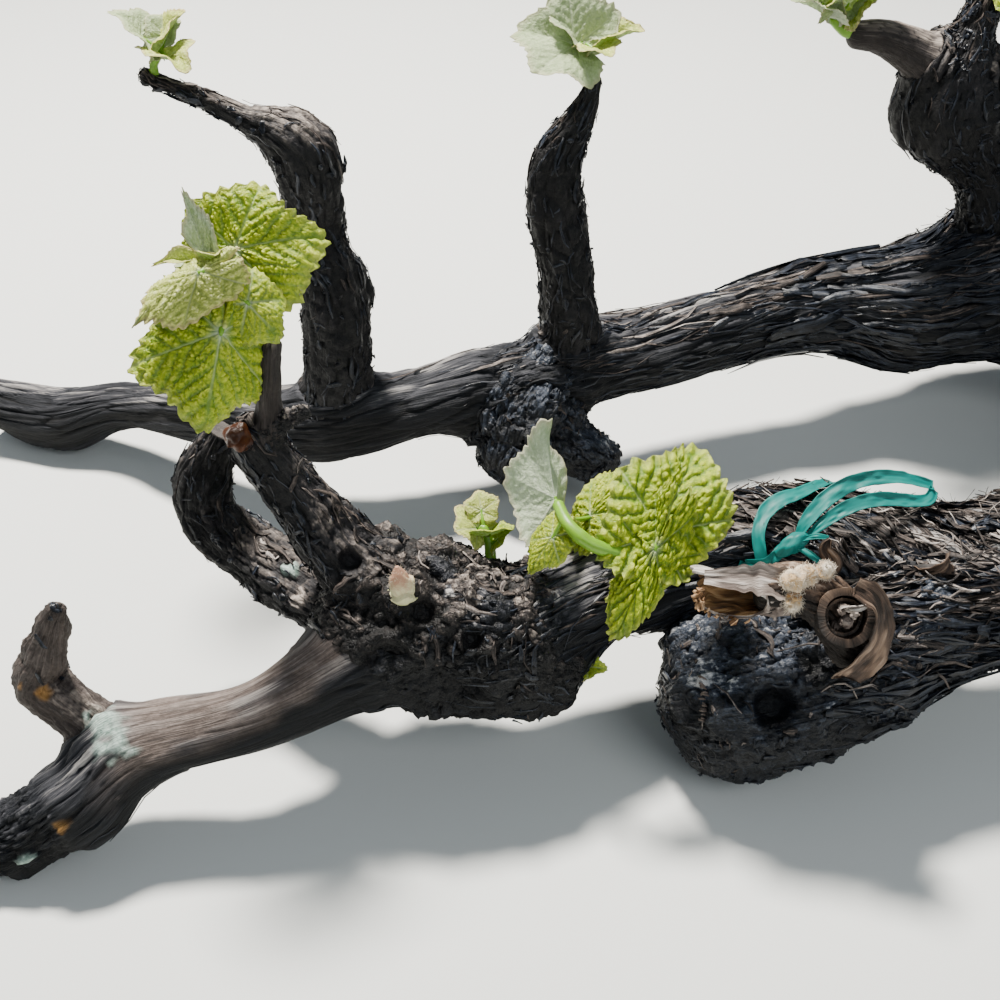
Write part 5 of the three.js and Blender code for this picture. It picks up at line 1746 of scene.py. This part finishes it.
def ribPart(share, seed):
    # a bowed rib that stands on the burl's bark where that is nearest to the seam's line
    start, stop = vector(seam["start"]), vector(seam["stop"])
    skin, ways = (surfaces["frontBurl"][key].reshape(-1, 3) for key in ("skin", "ways"))
    k = np.argmin(farFrom(skin, start * (1 - share) + stop * share))
    place, out = skin[k], ways[k]
    down = unit(stop - start)
    side = unit(np.cross(down, out))
    chance = np.random.default_rng(seed)
    t = np.linspace(-1, 1, 13)[:, None]
    bow = out * (seam["stand"] - 1.3 * t**2) + down * 0.6 * t**2 * chance.uniform(0.3, 1.2)
    tilt = down * t * chance.normal(0, 0.2)
    middle = place + side * t * seam["long"] / 2 * chance.uniform(0.55, 1.15) + bow + tilt
    thick = seam["wide"] / 2 * np.sqrt(np.clip(1.05 - t**2, 0.02, 1)) * chance.uniform(0.8, 1.2)
    grid = tubePoints(np.concatenate([middle, thick], 1), 10)
    zero = np.zeros(grid.shape[:2])
    return closedTube(grid, relief=zero + 0.3, weather=zero + 0.2, grain=grid * metre)


ribs = [ribPart(i / (seam["count"] - 1), 400 + i) for i in range(seam["count"])]
joinParts("burlSeam", ribs, [barks["palePaper"]], "front_arm", "bark", 60)
print("cane stub and buds made")


# The tie: each strand's places, the ways out there and its widths

strands = [
    # the winding
    (
        [[74, -48, 58], [79, -52, 62], [84, -50, 66], [87, -48, 67]],
        [[-0.3, -1, 0.5], [0, -1, 0.7], [0, -0.8, 1], [0, -0.7, 1]], [4, 4.5, 4, 2.2],
    ),
    # over the arm
    (
        [[79, -50, 58], [77.5, -43, 66.5], [82, -35, 70], [92, -29, 70.5], [103, -20, 68],
            [108, -10, 58], [106, -8, 48]],
        [[-0.5, -0.6, 0.7], [-0.4, -0.5, 0.9], [-0.1, -0.3, 1], [0, 0, 1], [0, 0.5, 1], [0.1, 1, 0.3],
            [0.1, 1, -0.2]],
        [5, 5, 6.5, 6, 5.5, 5, 5],
    ),
    # the loop's front and back
    (
        [[87.5, -49, 67], [90.5, -45.5, 72.5], [97, -41, 78], [106, -37, 81], [118, -35, 81],
            [130, -34, 77]],
        [[-0.6, -0.8, 0.3], [-0.7, -0.8, 0.4], [-0.5, -0.8, 0.6], [-0.2, -0.8, 0.8], [0, -0.6, 1],
            [0.1, -0.4, 1]],
        [2, 5.5, 6.5, 6, 5.5, 4.5],
    ),
    (
        [[130, -35, 76.5], [126, -40, 76], [112, -42, 78], [103, -44, 77], [96, -46.5, 73.5],
            [89, -49.5, 67.5]],
        [[0.4, -0.5, 1], [0, -0.6, 1], [0, -0.7, 1], [-0.1, -0.8, 0.8], [-0.4, -0.8, 0.6],
            [-0.6, -0.7, 0.4]],
        [4.5, 5, 5.5, 5.5, 4.5, 2],
    ),
    # under the arm
    (
        [
            [74, -47, 58], [71, -53, 50], [74, -56, 40], [84, -50, 33], [96, -36, 32], [104, -20, 36],
            [106, -11, 44], [106, -8, 50],
        ],
        [
            [-0.2, -1, 0.5], [-0.2, -1, 0.2], [-0.1, -1, -0.4], [0, -0.6, -1], [0, 0.1, -1],
            [0, 0.8, -0.8], [0, 1, -0.2], [0, 1, 0.2],
        ],
        [4.5, 5, 5, 5, 5, 5, 5, 5],
    ),
    # the two torn ends
    ([[88, -49, 68], [92, -51, 71], [96, -52, 71.5]], [[0, -0.5, 1], [0.2, -0.4, 1], [0.4, -0.3, 1]],
        [1.5, 3, 2]),
    ([[87, -50, 67], [91, -53.5, 66.5], [95, -55, 64]], [[0, -1, 0.6], [0.1, -1, 0.6], [0.3, -1, 0.5]],
        [1.5, 2.6, 1.4]),
]
tapeLook = dict(
    ragged=0.1, crease=0.9, across=15, step=0.55, cup=0.1, thick=0.14, folded=1.1, narrow=0.78,
)
knot = dict(
    places=[[82, -50.5, 64, 1.6], [85, -50, 66.3, 2.6], [88, -49, 68, 2.7], [91, -48, 69, 1.4]],
    step=0.3, around=40
)


def knotPart():
    # a lump of turns: a short tube whose radius waves round and along it
    line = smoothLine(knot["places"], knot["step"])[0]
    turn = fullTurn * np.arange(knot["around"]) / knot["around"]
    rise = np.linspace(0, 1, len(line))[:, None]
    folds = 0.2 * np.abs(np.sin(2 * turn + 5 * rise)) + 0.05 * np.sin(5 * turn - 8 * rise)
    grain = np.stack(np.broadcast_arrays(rise * 8, np.cos(turn) * 3, np.sin(turn) * 3), -1) * metre
    grid = scaled(line, tubePoints(line, knot["around"]), 0.85 + folds)
    return closedTube(grid, relief=folds * 2, grain=grain)


parts = []
for number, (places, out, width) in enumerate(strands):
    points, relief, grain = ribbonGrid(places, out, width, 120 + number, **tapeLook)
    parts.append(closedTube(points, relief=relief, grain=grain))
joinParts("tieTape", parts + [knotPart()], [stretchTape], "tie_tape", "tape")
print("tie tied")


# Camera, floor and light

view = dict(start=[0, -364.8, 330.1], aim=[0, 0, 45], lens=50, sensor=36)
lights = {
    "key": dict(place=(-0.3, 0.4, 1.1), aim=(-0.05, 0, 0.05), size=0.2, power=54, color=(1, 0.96, 0.9)),
    "fill": dict(place=(0.6, -0.9, 0.9), aim=(-0.05, 0, 0.05), size=0.9, power=7, color=(0.9, 0.96, 1)),
}
surround = dict(floor=(0.7, 0.71, 0.68, 1), floorSize=8, sky=(0.8, 0.9, 1, 1), glow=0.32)


def addToScene(name, data, place, way):
    # turned so that its own -z looks along the way
    added = bpy.data.objects.new(name, data)
    bpy.context.scene.collection.objects.link(added)
    added.location = place
    tilt = math.pi / 2 + math.atan2(way[2], math.hypot(way[0], way[1]))
    added.rotation_euler = (tilt, 0, math.atan2(-way[0], way[1]))
    return added


def makeCamera():
    data = bpy.data.cameras.new("camera")
    data.lens = view["lens"]
    data.sensor_width = view["sensor"]
    start, aim = ((vector(view[key]) + toOrigin) * metre for key in ("start", "aim"))
    bpy.context.scene.camera = addToScene("camera", data, start, aim - start)


def makeLight(name, look):
    data = bpy.data.lights.new(name, "AREA")
    data.shape = "DISK"
    data.size = look["size"]
    data.energy = look["power"]
    data.color = look["color"]
    addToScene(name, data, look["place"], vector(look["aim"]) - vector(look["place"]))


def makeFloor():
    bpy.ops.mesh.primitive_plane_add(size=surround["floorSize"])
    floor = bpy.context.object
    floor.name = "floor"
    material, _, shader = newMaterial("paleFloor", 0.9)
    shader.inputs["Base Color"].default_value = surround["floor"]
    floor.data.materials.append(material)


makeCamera()
makeFloor()
for name, look in lights.items():
    makeLight(name, look)
world = bpy.data.worlds.new("world")
world.use_nodes = True
background = world.node_tree.nodes["Background"]
background.inputs["Color"].default_value = surround["sky"]
background.inputs["Strength"].default_value = surround["glow"]
bpy.context.scene.world = world
print("stage set")

counts = [sum(len(face.vertices) - 2 for face in piece.data.polygons) for piece in pieces]
print("triangles in all", sum(counts), "and in the largest piece", max(counts))
